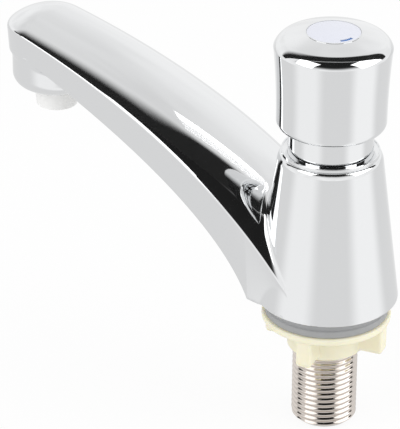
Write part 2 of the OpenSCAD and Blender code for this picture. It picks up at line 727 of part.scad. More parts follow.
// Shank with its pipe thread turned as grooves one pitch apart, from the deck to the chamfer
module threaded_shank() color("tan") difference() {
    rotate_extrude() polygon(concat(
        [[0, socket_depth - shank_seal_t], [thread_r, socket_depth - shank_seal_t]],
        [for (i = [0:thread_grooves - 1]) let (z = -thread_pitch * (i + 0.5)) each [
            [thread_r, z + thread_mouth / 2],
            [thread_r - thread_depth, z + thread_floor / 2],
            [thread_r - thread_depth, z - thread_floor / 2],
            [thread_r, z - thread_mouth / 2]
        ]],
        [[thread_r, shank_chamfer - shank_drop], [thread_r - shank_chamfer, -shank_drop], [0, -shank_drop]]
    ));
    translate([0, 0, -shank_drop - past]) cylinder(d = shank_bore, h = shank_drop + socket_depth + 2 * past);
}
thread_flank = 27.5;
thread_floor = thread_pitch / 6;
thread_mouth = thread_floor + 2 * thread_depth * tan(thread_flank);
thread_grooves = floor((shank_drop - shank_chamfer) / thread_pitch);

module base_gasket() color("darkgray") ring(gasket_d, thread_d + 4 * air_gap, -gasket_t, gasket_t);

module fixing_nut() color("cornsilk") difference() {
    union() {
        translate([0, 0, nut_z - flange_t]) cylinder(d = flange_d, h = flange_t);
        translate([0, 0, nut_z - nut_h]) cylinder(d = hub_d, h = nut_h);
        for (i = [0:wing_count - 1]) rotate([90, 0, wing_turn + 360 * i / wing_count])
            translate([0, nut_z - flange_t, -wing_t / 2]) linear_extrude(wing_t) polygon([
                [hub_d / 2 - past, past / 2],
                [wing_reach, past / 2],
                [wing_reach, wing_round - wing_drop],
                [wing_reach - wing_round, -wing_drop],
                [hub_d / 2 - past, flange_t - nut_h + past / 2]
            ]);
    }
    translate([0, 0, nut_z - nut_h - past]) cylinder(d = nut_bore, h = nut_h + 2 * past);
}

// Nozzle with the flange that seats in the boss
module aerator_shell() color("white") translate([spout_reach, 0, 0]) difference() {
    union() {
        translate([0, 0, shell_flange_z]) cylinder(d = aerator_d - 2 * fit_gap, h = shell_flange_t);
        translate([0, 0, outlet_h - nozzle_drop])
            cylinder(d1 = nozzle_mouth_d, d2 = nozzle_d, h = nozzle_drop + shell_flange_z - outlet_h);
    }
    translate([0, 0, outlet_h - nozzle_drop - past]) cylinder(d = nozzle_bore, h = shell_z);
    translate([0, 0, shell_z - core_h]) cylinder(d = core_bore, h = core_h + past);
}
core_bore = nozzle_bore + 2 * core_ledge;

module aerator_screen() color("silver") translate([spout_reach, 0, shell_z]) difference() {
    cylinder(d = aerator_d - 2 * fit_gap, h = screen_t);
    for (x = [-screen_span:1:screen_span], y = [-screen_span:1:screen_span])
        if (norm([x, y]) * screen_pitch + screen_hole < nozzle_bore / 2)
            translate([x * screen_pitch - screen_hole / 2, y * screen_pitch - screen_hole / 2, -past])
                cube([screen_hole, screen_hole, screen_t + 2 * past]);
}
screen_span = floor(nozzle_bore / 2 / screen_pitch);

module aerator_seal() color("black") translate([spout_reach, 0, 0])
    ring(aerator_d - 2 * fit_gap, nozzle_bore, shell_z + screen_t, aerator_seal_t);

// Cross of thin walls that straightens the stream, held in the shell's wider bore
module aerator_core() color("ivory") translate([spout_reach, 0, shell_z - core_h]) {
    ring(core_bore - 2 * fit_gap, core_bore - 2 * fit_gap - 2 * core_wall, 0, core_h);
    intersection() {
        cylinder(d = core_bore - core_wall, h = core_h);
        for (a = [0, 60, 120]) rotate([0, 0, a])
            translate([-core_bore, -core_wall / 2, 0]) cube([2 * core_bore, core_wall, core_h]);
    }
}

tap_body();
collar_ring();
neck_sleeve();
button_cap();
index_disc();
index_mark();
base_gasket();
fixing_nut();
threaded_shank();
shank_seal();
inlet_strainer();
cartridge_housing();
lower_o_ring();
upper_o_ring();
seat_ring();
gland_o_ring();
neck_gasket();
spring_seat();
return_spring();
guide_bush();
bush_circlip();
stem();
piston();
piston_cup();
piston_clip();
timing_screw();
valve_washer();
washer_cup();
washer_screw();
cap_screw();
aerator_shell();
aerator_seal();
aerator_screen();
aerator_core();
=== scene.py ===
"""Push timed basin tap: its looks, built around the CAD frame, and a plain studio to show it in."""

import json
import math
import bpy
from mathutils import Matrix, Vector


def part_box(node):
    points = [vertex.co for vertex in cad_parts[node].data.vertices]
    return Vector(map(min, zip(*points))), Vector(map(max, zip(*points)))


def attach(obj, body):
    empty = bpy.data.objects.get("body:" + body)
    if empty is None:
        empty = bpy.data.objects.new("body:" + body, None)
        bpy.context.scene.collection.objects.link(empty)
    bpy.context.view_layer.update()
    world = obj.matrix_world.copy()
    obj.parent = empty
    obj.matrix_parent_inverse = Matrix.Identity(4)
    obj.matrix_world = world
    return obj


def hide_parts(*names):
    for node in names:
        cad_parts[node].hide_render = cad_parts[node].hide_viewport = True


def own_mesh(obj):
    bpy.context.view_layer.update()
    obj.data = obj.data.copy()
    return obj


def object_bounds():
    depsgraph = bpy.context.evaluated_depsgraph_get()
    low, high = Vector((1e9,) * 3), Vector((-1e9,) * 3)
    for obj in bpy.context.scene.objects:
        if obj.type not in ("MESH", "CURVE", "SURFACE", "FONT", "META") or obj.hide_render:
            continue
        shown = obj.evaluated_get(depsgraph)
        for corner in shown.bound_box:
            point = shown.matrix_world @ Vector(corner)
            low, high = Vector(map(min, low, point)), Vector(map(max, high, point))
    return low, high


bl_info = {
    "name": "Push Timed Tap",
    "version": (1, 0, 0),
    "blender": (4, 5, 0),
    "location": "3D View > Sidebar > Tap",
    "description": "Builds the finished surfaces of a push timed basin tap and its studio",
    "category": "Add Mesh",
}

import bpy
import numpy as np
from bpy.props import FloatProperty, FloatVectorProperty, IntProperty, PointerProperty
from mathutils import Matrix, Vector

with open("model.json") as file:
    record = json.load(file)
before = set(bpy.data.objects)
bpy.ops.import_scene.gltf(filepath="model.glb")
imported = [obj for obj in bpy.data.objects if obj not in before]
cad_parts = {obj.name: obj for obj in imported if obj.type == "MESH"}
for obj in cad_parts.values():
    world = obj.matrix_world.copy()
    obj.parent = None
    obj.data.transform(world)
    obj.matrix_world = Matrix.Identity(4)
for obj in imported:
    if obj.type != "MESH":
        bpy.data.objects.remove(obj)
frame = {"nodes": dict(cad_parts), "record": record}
CAD_BOX = [list(corner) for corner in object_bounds()]

MM = 0.001


# Properties


def length(name, mm, about):
    """A size in the panel, given in millimetres."""
    return FloatProperty(
        name=name, description=about, default=mm * MM, unit="LENGTH", subtype="DISTANCE", precision=5
    )


def level(name, default, about):
    """A plain number in the panel."""
    return FloatProperty(name=name, description=about, default=default, precision=3)


def count(name, default, about):
    """A whole number in the panel."""
    return IntProperty(name=name, description=about, default=default)


def turn(name, degrees, about):
    """An angle in the panel, given in degrees."""
    return FloatProperty(name=name, description=about, default=math.radians(degrees), subtype="ANGLE")


def linear(hex_colour):
    """Linear RGBA of an sRGB hex colour."""
    parts = [int(hex_colour[i : i + 2], 16) / 255 for i in (1, 3, 5)]
    return [c / 12.92 if c <= 0.04045 else ((c + 0.055) / 1.055) ** 2.4 for c in parts] + [1.0]


def colour(name, hex_colour, about):
    """A colour in the panel, given as an sRGB hex value."""
    return FloatVectorProperty(
        name=name, description=about, default=linear(hex_colour), size=4, subtype="COLOR", min=0, max=1
    )


def low(node):
    """Lowest corner of a CAD node, in millimetres."""
    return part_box(node)[0] / MM


def high(node):
    """Highest corner of a CAD node, in millimetres."""
    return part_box(node)[1] / MM


class TapPillarSizes(bpy.types.PropertyGroup):
    """Sizes of the tapered pillar."""

    base_d: length("Base diameter", -2 * low("tap_body").x, "Diameter of the pillar at the deck")
    top_d: length("Top diameter", 32.8, "Diameter of the pillar at its top")
    height: length("Height", low("collar_ring").z, "Height of the pillar's top above the deck")
    top_round: length("Shoulder radius", 5, "Radius of the rounded shoulder below the pillar's top")
    top_round_end: turn("Shoulder end", 40, "Slope of the shoulder at the top, from upright")
    top_edge: length("Top edge", 0.5, "Rounding of the edge round the pillar's flat top")
    base_round: length("Base rounding", 0.7, "Rounding of the pillar's lower edge")
    top_fillet: length("Top fillet", 1.2, "Radius of the hollow fillet between pillar and crown, at the top")
    low_fillet: length("Low fillet", 3.4, "Radius of that fillet at the deck")
    side_fillet: length("Side fillet", 3.5, "Radius of the hollow fillet between pillar and spout's side")
    under_fillet: length("Lower fillet", 3.0, "Radius of the hollow fillet between pillar and underside")
    cell: length("Mesh cell", 0.6, "Size of the mesh's cells on the cast body")
    grid_wide: level("Grid width", 1.12, "Half the grid's width, over the spout's at the pillar")
    grid_below: length("Grid below", 47, "How far the grid reaches below the crease")
    grid_above: length("Grid above", 45, "How far the grid reaches above the crease")


class TapSpoutSizes(bpy.types.PropertyGroup):
    """Sizes of the spout and its outlet."""

    reach: length("Reach", 110.6, "Distance from the pillar's axis to the outlet's axis")
    nose_d: length("Nose diameter", 30, "Diameter of the round nose, seen from above")
    nose_ahead: length("Nose ahead", 1.4, "How far the nose's centre lies past the outlet's axis")
    crease_root_h: length("Crease at pillar", 8.2, "Height of the side crease at the pillar's axis")
    crease_tip_h: length("Crease at nose", 63.4, "Height of the side crease above the outlet")
    crease_root_rise: turn("Crease climb at pillar", 48, "Climb of the crease at the pillar")
    crease_tip_rise: turn("Crease climb at nose", 12, "Climb of the crease at the nose")
    crown_root_h: length("Crown at pillar", 8, "Height of the crown above the creases at the pillar")
    crown_tip_h: length("Crown at nose", 4.4, "Height of the crown above the creases at the nose")
    crown_full: level("Crown fullness", 0.9, "From 0 for a flat arc to 1 for a half-ellipse")
    side_swell: length("Side swell", 0.2, "How far the sides swell out half-way along")
    heel_x: length("Heel", 17.7, "Distance from the axis to where the underside meets the deck")
    under_tip_h: length("Underside at nose", 54.6, "Height of the underside above the outlet")
    under_root_rise: turn("Underside climb at heel", 63, "Climb of the underside at the heel")
    under_tip_rise: turn("Underside climb at nose", 18, "Climb of the underside at the nose")
    lean_root: length("Lean at pillar", 1.8, "How far a side leans in below the crease, at the pillar")
    lean_tip: length("Lean at nose", 0.6, "How far a side leans in below the crease, at the nose")
    crease_round: length("Crease rounding", 0.35, "Rounding of the polished crease")
    nose_round: length("Nose rounding", 3, "Rounding of the crease straight ahead on the nose")
    nose_spread: turn("Nose spread", 45, "Angle to either side over which that rounding is full")
    taper_end: level("Taper end", 0.06, "Share of the spout's length over which its tapers die out")
    under_round: length("Underside rounding", 0.8, "Rounding of the underside's long edges")
    wall: length("Wall", 3, "Wall of the hollow spout")
    way_d: length("Water way", 12, "Diameter of the water ways")
    port_d: length("Port diameter", 7.6, "Diameter of the port from the pillar to the spout")
    port_h: length("Port height", 26.05, "Height of the port's axis")
    fit_gap: length("Fit", 0.05, "Gap between the body and what sits in it")
    boss_d: length("Boss diameter", 29, "Diameter of the outlet boss")
    boss_h: length("Boss height", 42.8, "Height of the boss's lower face")
    boss_round: length("Boss rounding", 4.4, "Rounding of the boss's lower edge")
    boss_fillet: length("Boss fillet", 1.2, "Fillet between boss and spout")
    nozzle_d: length("Nozzle root", 15, "Diameter of the nozzle at its root")
    nozzle_mouth_d: length("Nozzle mouth", 13.6, "Diameter of the nozzle at its mouth")
    nozzle_bore: length("Nozzle bore", 10.6, "Bore of the nozzle")
    nozzle_sink: length("Nozzle sink", 0.3, "How far the nozzle's flange is sunk into the boss")
    bore_edge: length("Nozzle bore edge", 0.4, "Rounding of the nozzle's mouth inside")
    mouth_edge: length("Nozzle mouth edge", 0.5, "Rounding of the nozzle's mouth outside")
    root_edge: length("Nozzle root edge", 0.2, "Rounding of the nozzle's root and flange")


class TapButtonSizes(bpy.types.PropertyGroup):
    """Sizes of the push button and the neck below it."""

    low_d: length("Foot diameter", 34.6, "Diameter of the button at its foot")
    rim_d: length("Rim diameter", 37, "Diameter of the button at its rim")
    rim_h: length("Rim height", 26.9, "Height of the rim above the button's foot")
    foot_round: length("Foot rounding", 2.4, "Rounding of the button's foot")
    rim_round: length("Rim rounding", 0.25, "Rounding of the button's rim")
    dome_r: length("Dome radius", 52, "Radius of the domed top")
    shoulder_r: length("Shoulder radius", 5.3, "Radius of the shoulder inside the rim")
    shoulder_end: turn("Shoulder end", 71, "Angle of the shoulder where it meets the rim")
    roof_t: length("Roof", 5.4, "Depth from the dome's edge to the button's inner roof")
    boss_d: length("Stem boss", 13, "Diameter of the boss that takes the stem")
    boss_rise: length("Boss rise", 6.7, "Height of that boss above the neck")
    web_t: length("Web", 1.6, "Thickness of the web under the screw's head")
    screw_hole: length("Screw hole", 4.2, "Diameter of the hole for the screw")
    fit_gap: length("Fit", 0.05, "Gap between the button and what sits in it")
    air_gap: length("Air gap", 0.3, "Gap between the button and the neck")
    collar_w: length("Collar", 2.0, "Width of the collar ring round the neck")
    collar_lip: length("Collar lip", 0.5, "Width of the lip at the collar's edge")
    collar_wall: length("Lip height", 0.55, "Height of the lip's inner wall, above the slope to the neck")
    collar_drop: length("Collar drop", 0.2, "How far the lip stays below the collar's full height")
    collar_round: length("Collar rounding", 0.15, "Rounding of the lip's edges")
    groove_w: length("Index groove", 0.35, "Width of the groove round the index disc")
    groove_depth: length("Groove depth", 0.6, "Depth of that groove")
    neck_round: length("Neck rounding", 0.4, "Rounding of the neck's upper edge")


class TapFixingSizes(bpy.types.PropertyGroup):
    """Sizes of the fixing below the deck."""

    pitch: length("Thread pitch", 1.814, "Pitch of the pipe thread")
    thread_rows: count("Rows in a pitch", 24, "Rows of the mesh in one pitch of the thread")
    thread_turns: count("Points in a turn", 128, "Points of the mesh round the thread")
    thread_depth: length("Thread depth", 0.6, "Depth of the pipe thread, rounded off by its plating")
    chamfer: length("Chamfer", 1.4, "Chamfer at the shank's lower end")
    shank_bore: length("Shank bore", 13.6, "Bore of the shank")
    gasket_round: length("Gasket rounding", 0.4, "Rounding of the gasket's edges")
    gasket_groove: length("Gasket groove", 0.5, "Depth and height of the groove round the gasket")
    gasket_gap: length("Gasket gap", 0.6, "Gap between the gasket and the shank")
    nut_gap: length("Nut gap", 0.1, "Gap between the nut and the thread's crests")
    flange_t: length("Flange thickness", 2.4, "Thickness of the nut's flange")
    hub_d: length("Hub diameter", 24.6, "Diameter of the nut's hub")
    wing_count: count("Wings", 4, "Number of wings on the nut")
    wing_t: length("Wing thickness", 5.2, "Thickness of a wing")
    wing_reach: length("Wing reach", 20, "Distance from the axis to a wing's outer face")
    wing_drop: length("Wing drop", 9.4, "How far a wing reaches below the flange")
    wing_turn: turn("Wing direction", 14, "Direction of the first wing from the spout")
    nut_round: length("Nut rounding", 0.9, "Rounding of the moulded nut's edges")
    nut_cell: length("Mesh cell", 0.4, "Size of the mesh's cells on the nut")


class TapColours(bpy.types.PropertyGroup):
    """Colours of the materials."""

    chrome: colour("Chrome", "#ECEDEE", "Polished chrome plate")
    nickel: colour("Nickel", "#D9D1CA", "Nickel plate on the shank")
    brass: colour("Brass", "#CDAE6C", "Machined brass")
    steel: colour("Steel", "#C4C6C9", "Stainless steel")
    gasket: colour("Gasket", "#A6A7A8", "Grey rubber")
    seal: colour("Seals", "#1C1C1D", "Black nitrile rubber")
    nut: colour("Nut", "#F7F1D8", "Natural nylon")
    plastic: colour("White plastic", "#FBFBFA", "White acetal")
    index: colour("Index disc", "#DFE1EB", "Index disc")
    mark: colour("Index mark", "#2F6FB8", "Blue inlay of the cold mark")
    fibre: colour("Fibre", "#8A4B36", "Pressed red fibre")


class TapStageSettings(bpy.types.PropertyGroup):
    """Camera and studio."""

    view_turn: turn("View direction", 37, "Angle between the spout and the picture's left")
    view_tilt: FloatProperty(
        name="View tilt", description="Elevation of the camera", default=0.48008128, subtype="ANGLE"
    )
    view_roll: FloatProperty(
        name="View roll", description="Roll of the camera", default=0.00681789, subtype="ANGLE"
    )
    aim: FloatVectorProperty(
        name="Aim",
        description="Place of the origin in the camera's frame: right, down, ahead",
        default=(40.421033 * MM, 25.087625 * MM, 1021.167832 * MM),
        subtype="TRANSLATION",
        unit="LENGTH",
    )
    lens_pixels: FloatProperty(
        name="Focal length", description="Focal length in pixels of the picture", default=3200.32
    )
    picture_width: FloatProperty(
        name="Picture width", description="Width of the picture in pixels", default=400
    )
    even_light: level("Even light", 0.8, "Light from all round on surfaces that do not mirror")
    wall_top: level("Walls", 0.45, "Where the mirrored walls begin to dull, as the sine of the height")
    ceiling: level("Ceiling", 0.95, "Where the mirrored ceiling is dullest, as the sine of the height")
    ceiling_level: level("Ceiling level", 0.82, "Brightness of the mirrored ceiling")
    dark_level: level("Dark level", 0.018, "Brightness of the dark side of the room")
    dark_lean: level("Dark lean", 0.22, "How far the dark side stays short of the zenith")
    dark_edge: level("Dark edge", 0.08, "Softness of the dark side's rear edge")
    dark_from: level("Dark from", 0.22, "Where the dark side begins, as the sine of the height")
    dark_full: level("Dark full", 0.68, "Where it is darkest, as the sine of the height")
    floor_half: length("Floor", 3000, "Half the width of the floor")
    floor_even: level("Even floor", 0.9, "Share of the floor that is even and not shaded")
    floor_level: level("Floor level", 0.76, "Brightness of the mirrored floor")
    left_glow: turn("Left glow", -53, "Bearing of the left lamp's light on the floor")
    left_gain: level("Left gain", 0.22, "How much brighter the floor is there")
    right_glow: turn("Right glow", 66, "Bearing of the right lamp's light on the floor")
    right_gain: level("Right gain", 0.26, "How much brighter the floor is there")
    glow_full: turn("Glow full", 14, "Half the bearing over which that light is full")
    glow_end: turn("Glow end", 38, "Half the bearing at which it ends")
    far_from: turn("Far light from", 135, "Bearing past which the floor behind brightens")
    far_full: turn("Far light full", 165, "Bearing past which it is brightest")
    far_gain: level("Far gain", 0.12, "How much brighter the floor is there")
    card_h: length("Card height", 190, "Height of the dark card above the deck")
    card_half: length("Card width", 600, "Half the width of the dark card")
    card_straight: length("Straight part", 70, "Half the width over which its edges are straight")
    card_front: length("Card front", -35, "Front edge of the dark card, away from the camera")
    front_flare: level("Front flare", 0.3, "Slope at which the front edge draws back at the sides")
    card_back: length("Card back", 36, "Rear edge of the dark card, away from the camera")
    back_flare: level("Back flare", 0.4, "Slope at which the rear edge draws back at the sides")
    soft_left: length("Soft left", -75, "Where the rear edge is softest, right of the pillar's axis")
    soft_right: length("Soft right", 0, "Where the rear edge is sharpest, right of the pillar's axis")
    card_fade: length("Card fade", 28, "Half the softness of the rear edge at the left")
    card_sharp: length("Card edge", 7, "Half the softness of the rear edge at the right")
    strip_at: FloatVectorProperty(
        name="Strip", description="Centre of the strip light: right, away and up from the deck's origin",
        default=(45 * MM, 62 * MM, 190 * MM), subtype="TRANSLATION", unit="LENGTH",
    )
    strip_w: length("Strip width", 116, "Width of the strip light")
    strip_t: length("Strip depth", 31, "Depth of the strip light")
    strip_level: level("Strip level", 1.8, "Brightness of the strip light")
    lamp_aim: FloatVectorProperty(
        name="Lamps' aim", description="Where the lamps point",
        default=(0, 0, 70 * MM), subtype="TRANSLATION", unit="LENGTH",
    )


GROUPS = {
    "tap_pillar": TapPillarSizes,
    "tap_spout": TapSpoutSizes,
    "tap_button": TapButtonSizes,
    "tap_fixing": TapFixingSizes,
    "tap_colours": TapColours,
    "tap_stage": TapStageSettings,
}


# Materials


BUMP = "ShaderNodeBump"
MATH = "ShaderNodeMath"
NOISE = "ShaderNodeTexNoise"
RANGE = "ShaderNodeMapRange"
SMOOTH = {"interpolation_type": "SMOOTHSTEP"}


def add_node(tree, kind, inputs=None, **settings):
    """Adds a node with its settings. An input is a value, or a socket or node to link from."""
    node = tree.nodes.new(kind)
    for key, value in settings.items():
        setattr(node, key, value)
    for socket, value in (inputs or {}).items():
        if isinstance(value, bpy.types.Node):
            value = value.outputs[0]
        if isinstance(value, bpy.types.NodeSocket):
            tree.links.new(value, node.inputs[socket])
        else:
            node.inputs[socket].default_value = value
    return node


def start_material(name, **sockets):
    """A new material: its node tree, its surface shader with constant sockets set, and object coordinates."""
    material = bpy.data.materials.new(name)
    material.use_nodes = True
    tree = material.node_tree
    surface = tree.nodes["Principled BSDF"]
    for socket, value in sockets.items():
        surface.inputs[socket.replace("_", " ")].default_value = value
    place = add_node(tree, "ShaderNodeTexCoord").outputs["Object"]
    return material, tree, surface, place


def span(value, start, end, at_start, at_end):
    """Inputs of a range node: a value that goes from one level to another between two places."""
    return {"Value": value, "From Min": start, "From Max": end, "To Min": at_start, "To Max": at_end}


def per_metre(mm):
    """Scale of a pattern whose features are that many millimetres across."""
    return 1 / (mm * MM)


def chrome_plate(colours):
    """Bright chrome on cast and polished brass.

    It was buffed by hand before plating, so it mirrors its surroundings with a faint waviness some
    15 mm long, and fine wiping marks that soften the mirror in patches."""
    material, tree, surface, place = start_material(
        "Polished chrome plate", Base_Color=colours.chrome, Metallic=1.0
    )
    wave = add_node(tree, NOISE, {"Vector": place, "Scale": per_metre(15), "Detail": 1.0})
    bump = add_node(tree, BUMP, {"Height": wave, "Strength": 1.0, "Distance": 0.010 * MM})
    wiping = add_node(tree, NOISE, {"Vector": place, "Scale": per_metre(4), "Detail": 3.0})
    gloss = add_node(tree, RANGE, span(wiping, 0.3, 0.7, 0.025, 0.06))
    tree.links.new(bump.outputs["Normal"], surface.inputs["Normal"])
    tree.links.new(gloss.outputs["Result"], surface.inputs["Roughness"])
    return material


def turned_metal(name, colour_value, roughness, line_mm):
    """Metal finished on a lathe.

    The tool left fine rings round the axis, which spread reflections up and down the piece. The real
    rings are some 0.05 mm apart and are drawn coarser, so that they show."""
    material, tree, surface, place = start_material(name, Base_Color=colour_value, Metallic=1.0)
    rings = add_node(
        tree,
        "ShaderNodeTexWave",
        {"Vector": place, "Scale": per_metre(line_mm) / 20, "Distortion": 0.6, "Detail": 2.0},
        bands_direction="Z",
    )
    bump = add_node(tree, BUMP, {"Height": rings.outputs["Fac"], "Strength": 0.35, "Distance": 0.004 * MM})
    stain = add_node(tree, NOISE, {"Vector": place, "Scale": per_metre(3), "Detail": 4.0})
    gloss = add_node(tree, RANGE, span(stain, 0.0, 1.0, roughness * 0.7, roughness * 1.3))
    tree.links.new(bump.outputs["Normal"], surface.inputs["Normal"])
    tree.links.new(gloss.outputs["Result"], surface.inputs["Roughness"])
    return material


def mottled(tree, place, colour_value, grain_mm, depth):
    """The colour, a little lighter and darker in soft patches of that size."""
    patches = add_node(tree, NOISE, {"Vector": place, "Scale": per_metre(grain_mm), "Detail": 3.0})
    shade = add_node(tree, RANGE, span(patches, 0.0, 1.0, 1 - depth, 1 + depth))
    return add_node(tree, "ShaderNodeHueSaturation", {"Value": shade, "Color": colour_value})


def moulded(name, colour_value, roughness, ior, grain_mm, grain_depth_mm, mottle=0.04, **sockets):
    """Moulded plastic or rubber: one colour through and through, with the fine grain of its mould."""
    material, tree, surface, place = start_material(name, Roughness=roughness, IOR=ior, **sockets)
    tint = mottled(tree, place, colour_value, 6 * grain_mm, mottle)
    grain = add_node(tree, NOISE, {"Vector": place, "Scale": per_metre(grain_mm), "Detail": 4.0})
    bump = add_node(tree, BUMP, {"Height": grain, "Strength": 0.4, "Distance": grain_depth_mm * MM})
    tree.links.new(tint.outputs["Color"], surface.inputs["Base Color"])
    tree.links.new(bump.outputs["Normal"], surface.inputs["Normal"])
    return material


def make_materials(colours):
    """One material for each slot of the record."""
    return {
        "chrome": chrome_plate(colours),
        # Nickel plate over turned brass: warm grey, satin, with the thread tool's rings
        "nickel": turned_metal("Nickel plate, turned", colours.nickel, 0.13, 0.2),
        # Free-cutting brass as it comes off the lathe
        "brass": turned_metal("Brass, turned", colours.brass, 0.25, 0.25),
        # Stainless steel wire and pressings
        "steel": turned_metal("Stainless steel", colours.steel, 0.28, 0.2),
        # Moulded rubber with a dull, powdery skin
        "grey_rubber": moulded("Grey rubber, moulded", colours.gasket, 0.62, 1.52, 0.5, 0.03, 0.06),
        # Nitrile rubber, black and slightly glossy
        "black_rubber": moulded("Nitrile rubber", colours.seal, 0.45, 1.52, 0.4, 0.01, 0.08),
        # Natural nylon: cream, waxy and a little translucent, so that light spreads inside it
        "nut_nylon": moulded(
            "Natural nylon, moulded", colours.nut, 0.42, 1.53, 0.8, 0.012, 0.03,
            Subsurface_Weight=0.35, Subsurface_Radius=(2.2 * MM, 1.8 * MM, 1.0 * MM), Subsurface_Scale=1.0,
        ),
        # White acetal: dense, smooth and slightly waxy
        "white_plastic": moulded("White acetal, moulded", colours.plastic, 0.3, 1.48, 0.8, 0.008, 0.02),
        # Polished plastic of the index disc
        "index_white": moulded("White styrene, polished", colours.index, 0.16, 1.57, 1.2, 0.004, 0.02),
        # Blue enamel run into the disc's groove
        "index_blue": moulded("Blue enamel inlay", colours.mark, 0.2, 1.5, 0.6, 0.004, 0.06),
        # Pressed fibre: reddish brown and matt, with short hairs pressed flat
        "fibre": moulded("Pressed fibre", colours.fibre, 0.75, 1.5, 0.35, 0.03, 0.15),
    }


def material_for(slot):
    """The material of a slot, made with the others when the first one is asked for."""
    if slot not in MATERIALS:
        MATERIALS.update(make_materials(bpy.context.scene.tap_colours))
    return MATERIALS[slot]


MATERIALS = {}
SLOTS = {part["node"]: part["material_slot"] for part in frame["record"]["subparts"]}
BODIES = {node: body for body, nodes in frame["record"]["behaviour"]["bodies"].items() for node in nodes}


# Meshes


def add_piece(name, node, points, faces, normals=None):
    """A smooth mesh, with corner normals or with sharp edges where it bends, which stands for a CAD node."""
    mesh = bpy.data.meshes.new(name)
    mesh.from_pydata(points, [], faces)
    mesh.polygons.foreach_set("use_smooth", [True] * len(mesh.polygons))
    if normals is None:
        mesh.set_sharp_from_angle(angle=math.radians(50))
    else:
        mesh.normals_split_custom_set(normals)
    mesh.materials.append(material_for(SLOTS[node]))
    piece = bpy.data.objects.new(name, mesh)
    bpy.context.scene.collection.objects.link(piece)
    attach(piece, BODIES[node])
    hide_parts(node)
    return piece


def dress(node):
    """Gives a CAD node, which keeps its shape, the material of its slot."""
    materials = frame["nodes"][node].data.materials
    materials.clear()
    materials.append(material_for(SLOTS[node]))


def flat(start, end):
    """Straight stretch of a turned profile, from one (radius, height) point to the next."""
    points = np.array([start, end], float)
    along = points[1] - points[0]
    along /= np.hypot(*along)
    normal = [along[1], -along[0]]
    return points, np.array([normal, normal])


def bow(centre, radius, start, end, steps=12):
    """Round stretch of a turned profile: an arc between two angles, in degrees from the radius."""
    angles = np.radians(np.linspace(start, end, steps + 1))
    spokes = np.stack([np.cos(angles), np.sin(angles)], 1)
    return np.array(centre) + radius * spokes, spokes * np.sign(end - start)


def flared(points):
    """Smooth stretch of a turned profile through evenly spaced points of a parabola."""
    points = np.array(points, float)
    along = np.gradient(points, axis=0, edge_order=2)
    along /= np.hypot(along[:, 0], along[:, 1])[:, None]
    return points, np.stack([along[:, 1], -along[:, 0]], 1)


def rounded(points, radii):
    """Closed profile through corner points, each rounded by its own radius, as a list of stretches."""
    points = [np.array(point, float) for point in points]
    stretches = []
    ends = []
    for i, corner in enumerate(points):
        back = points[i - 1] - corner
        ahead = points[(i + 1) % len(points)] - corner
        back /= np.hypot(*back)
        ahead /= np.hypot(*ahead)
        swing = math.degrees(math.atan2(-back[0] * ahead[1] + back[1] * ahead[0], -back @ ahead))
        cut = radii[i] * math.tan(math.radians(abs(swing)) / 2)
        if radii[i]:
            side = math.copysign(1, swing)
            entry = corner + back * cut
            centre = entry + side * radii[i] * np.array([back[1], -back[0]])
            start = math.degrees(math.atan2(*(entry - centre)[::-1]))
            stretches.append(bow(centre, radii[i], start, start + swing, 6))
        else:
            stretches.append(None)
        ends.append((corner + back * cut, corner + ahead * cut))
    chain = []
    for i, stretch in enumerate(stretches):
        if stretch is not None:
            chain.append(stretch)
        chain.append(flat(ends[i][1], ends[(i + 1) % len(ends)][0]))
    return chain


def round_angles(turns):
    """Evenly spaced angles round an axis, and their directions."""
    angles = 2 * math.pi * np.arange(turns) / turns
    return angles, np.stack([np.cos(angles), np.sin(angles)], 1)


def band(row, rows, turns):
    """Quads between a ring of points and the next of that many rings, the last of which meets the first."""
    here = np.arange(turns)
    there = (here + 1) % turns
    a, b = row * turns, (row + 1) % rows * turns
    return np.stack([a + here, a + there, b + there, b + here], 1)


def turned(stretches, turns=192, axis_x=0.0):
    """Points, faces and corner normals of a closed profile turned round an upright axis."""
    rows = [point for points, _ in stretches for point in points[:-1]]
    spokes = round_angles(turns)[1]
    points = np.array([[axis_x + r * c, r * s, z] for r, z in rows for c, s in spokes])
    here = np.arange(turns)
    there = (here + 1) % turns
    faces, corners = [], []
    row = 0
    for _, normals in stretches:
        for a, b in zip(normals[:-1], normals[1:]):
            faces.append(band(row, len(rows), turns))
            for normal, spoke in ((a, here), (a, there), (b, there), (b, here)):
                corners.append(
                    np.column_stack([normal[0] * spokes[spoke], np.full(turns, normal[1])])
                )
            row += 1
    corners = np.array(corners).reshape(-1, 4, turns, 3).transpose(0, 2, 1, 3).reshape(-1, 3)
    return points, np.concatenate(faces).tolist(), corners


# Within how many cells of a skin its field is read again
NEAR_CELLS = 6
# How firmly a cell's point is held to the middle of its crossed edges
MIDDLE_HOLD = 0.06
# How many cells it may move away from there
MOVE_CELLS = 0.8
# How many cells it may then move at a time, onto the surface
STEP_CELLS = 0.3


def gradient(field, points, step=0.004 * MM):
    """Unit vectors along which a field grows fastest."""
    slopes = []
    for axis in range(3):
        shift = np.zeros(3)
        shift[axis] = step
        slopes.append(field(*(points + shift).T) - field(*(points - shift).T))
    slopes = np.stack(slopes, 1)
    return slopes / np.maximum(np.linalg.norm(slopes, axis=1), 1e-12)[:, None]


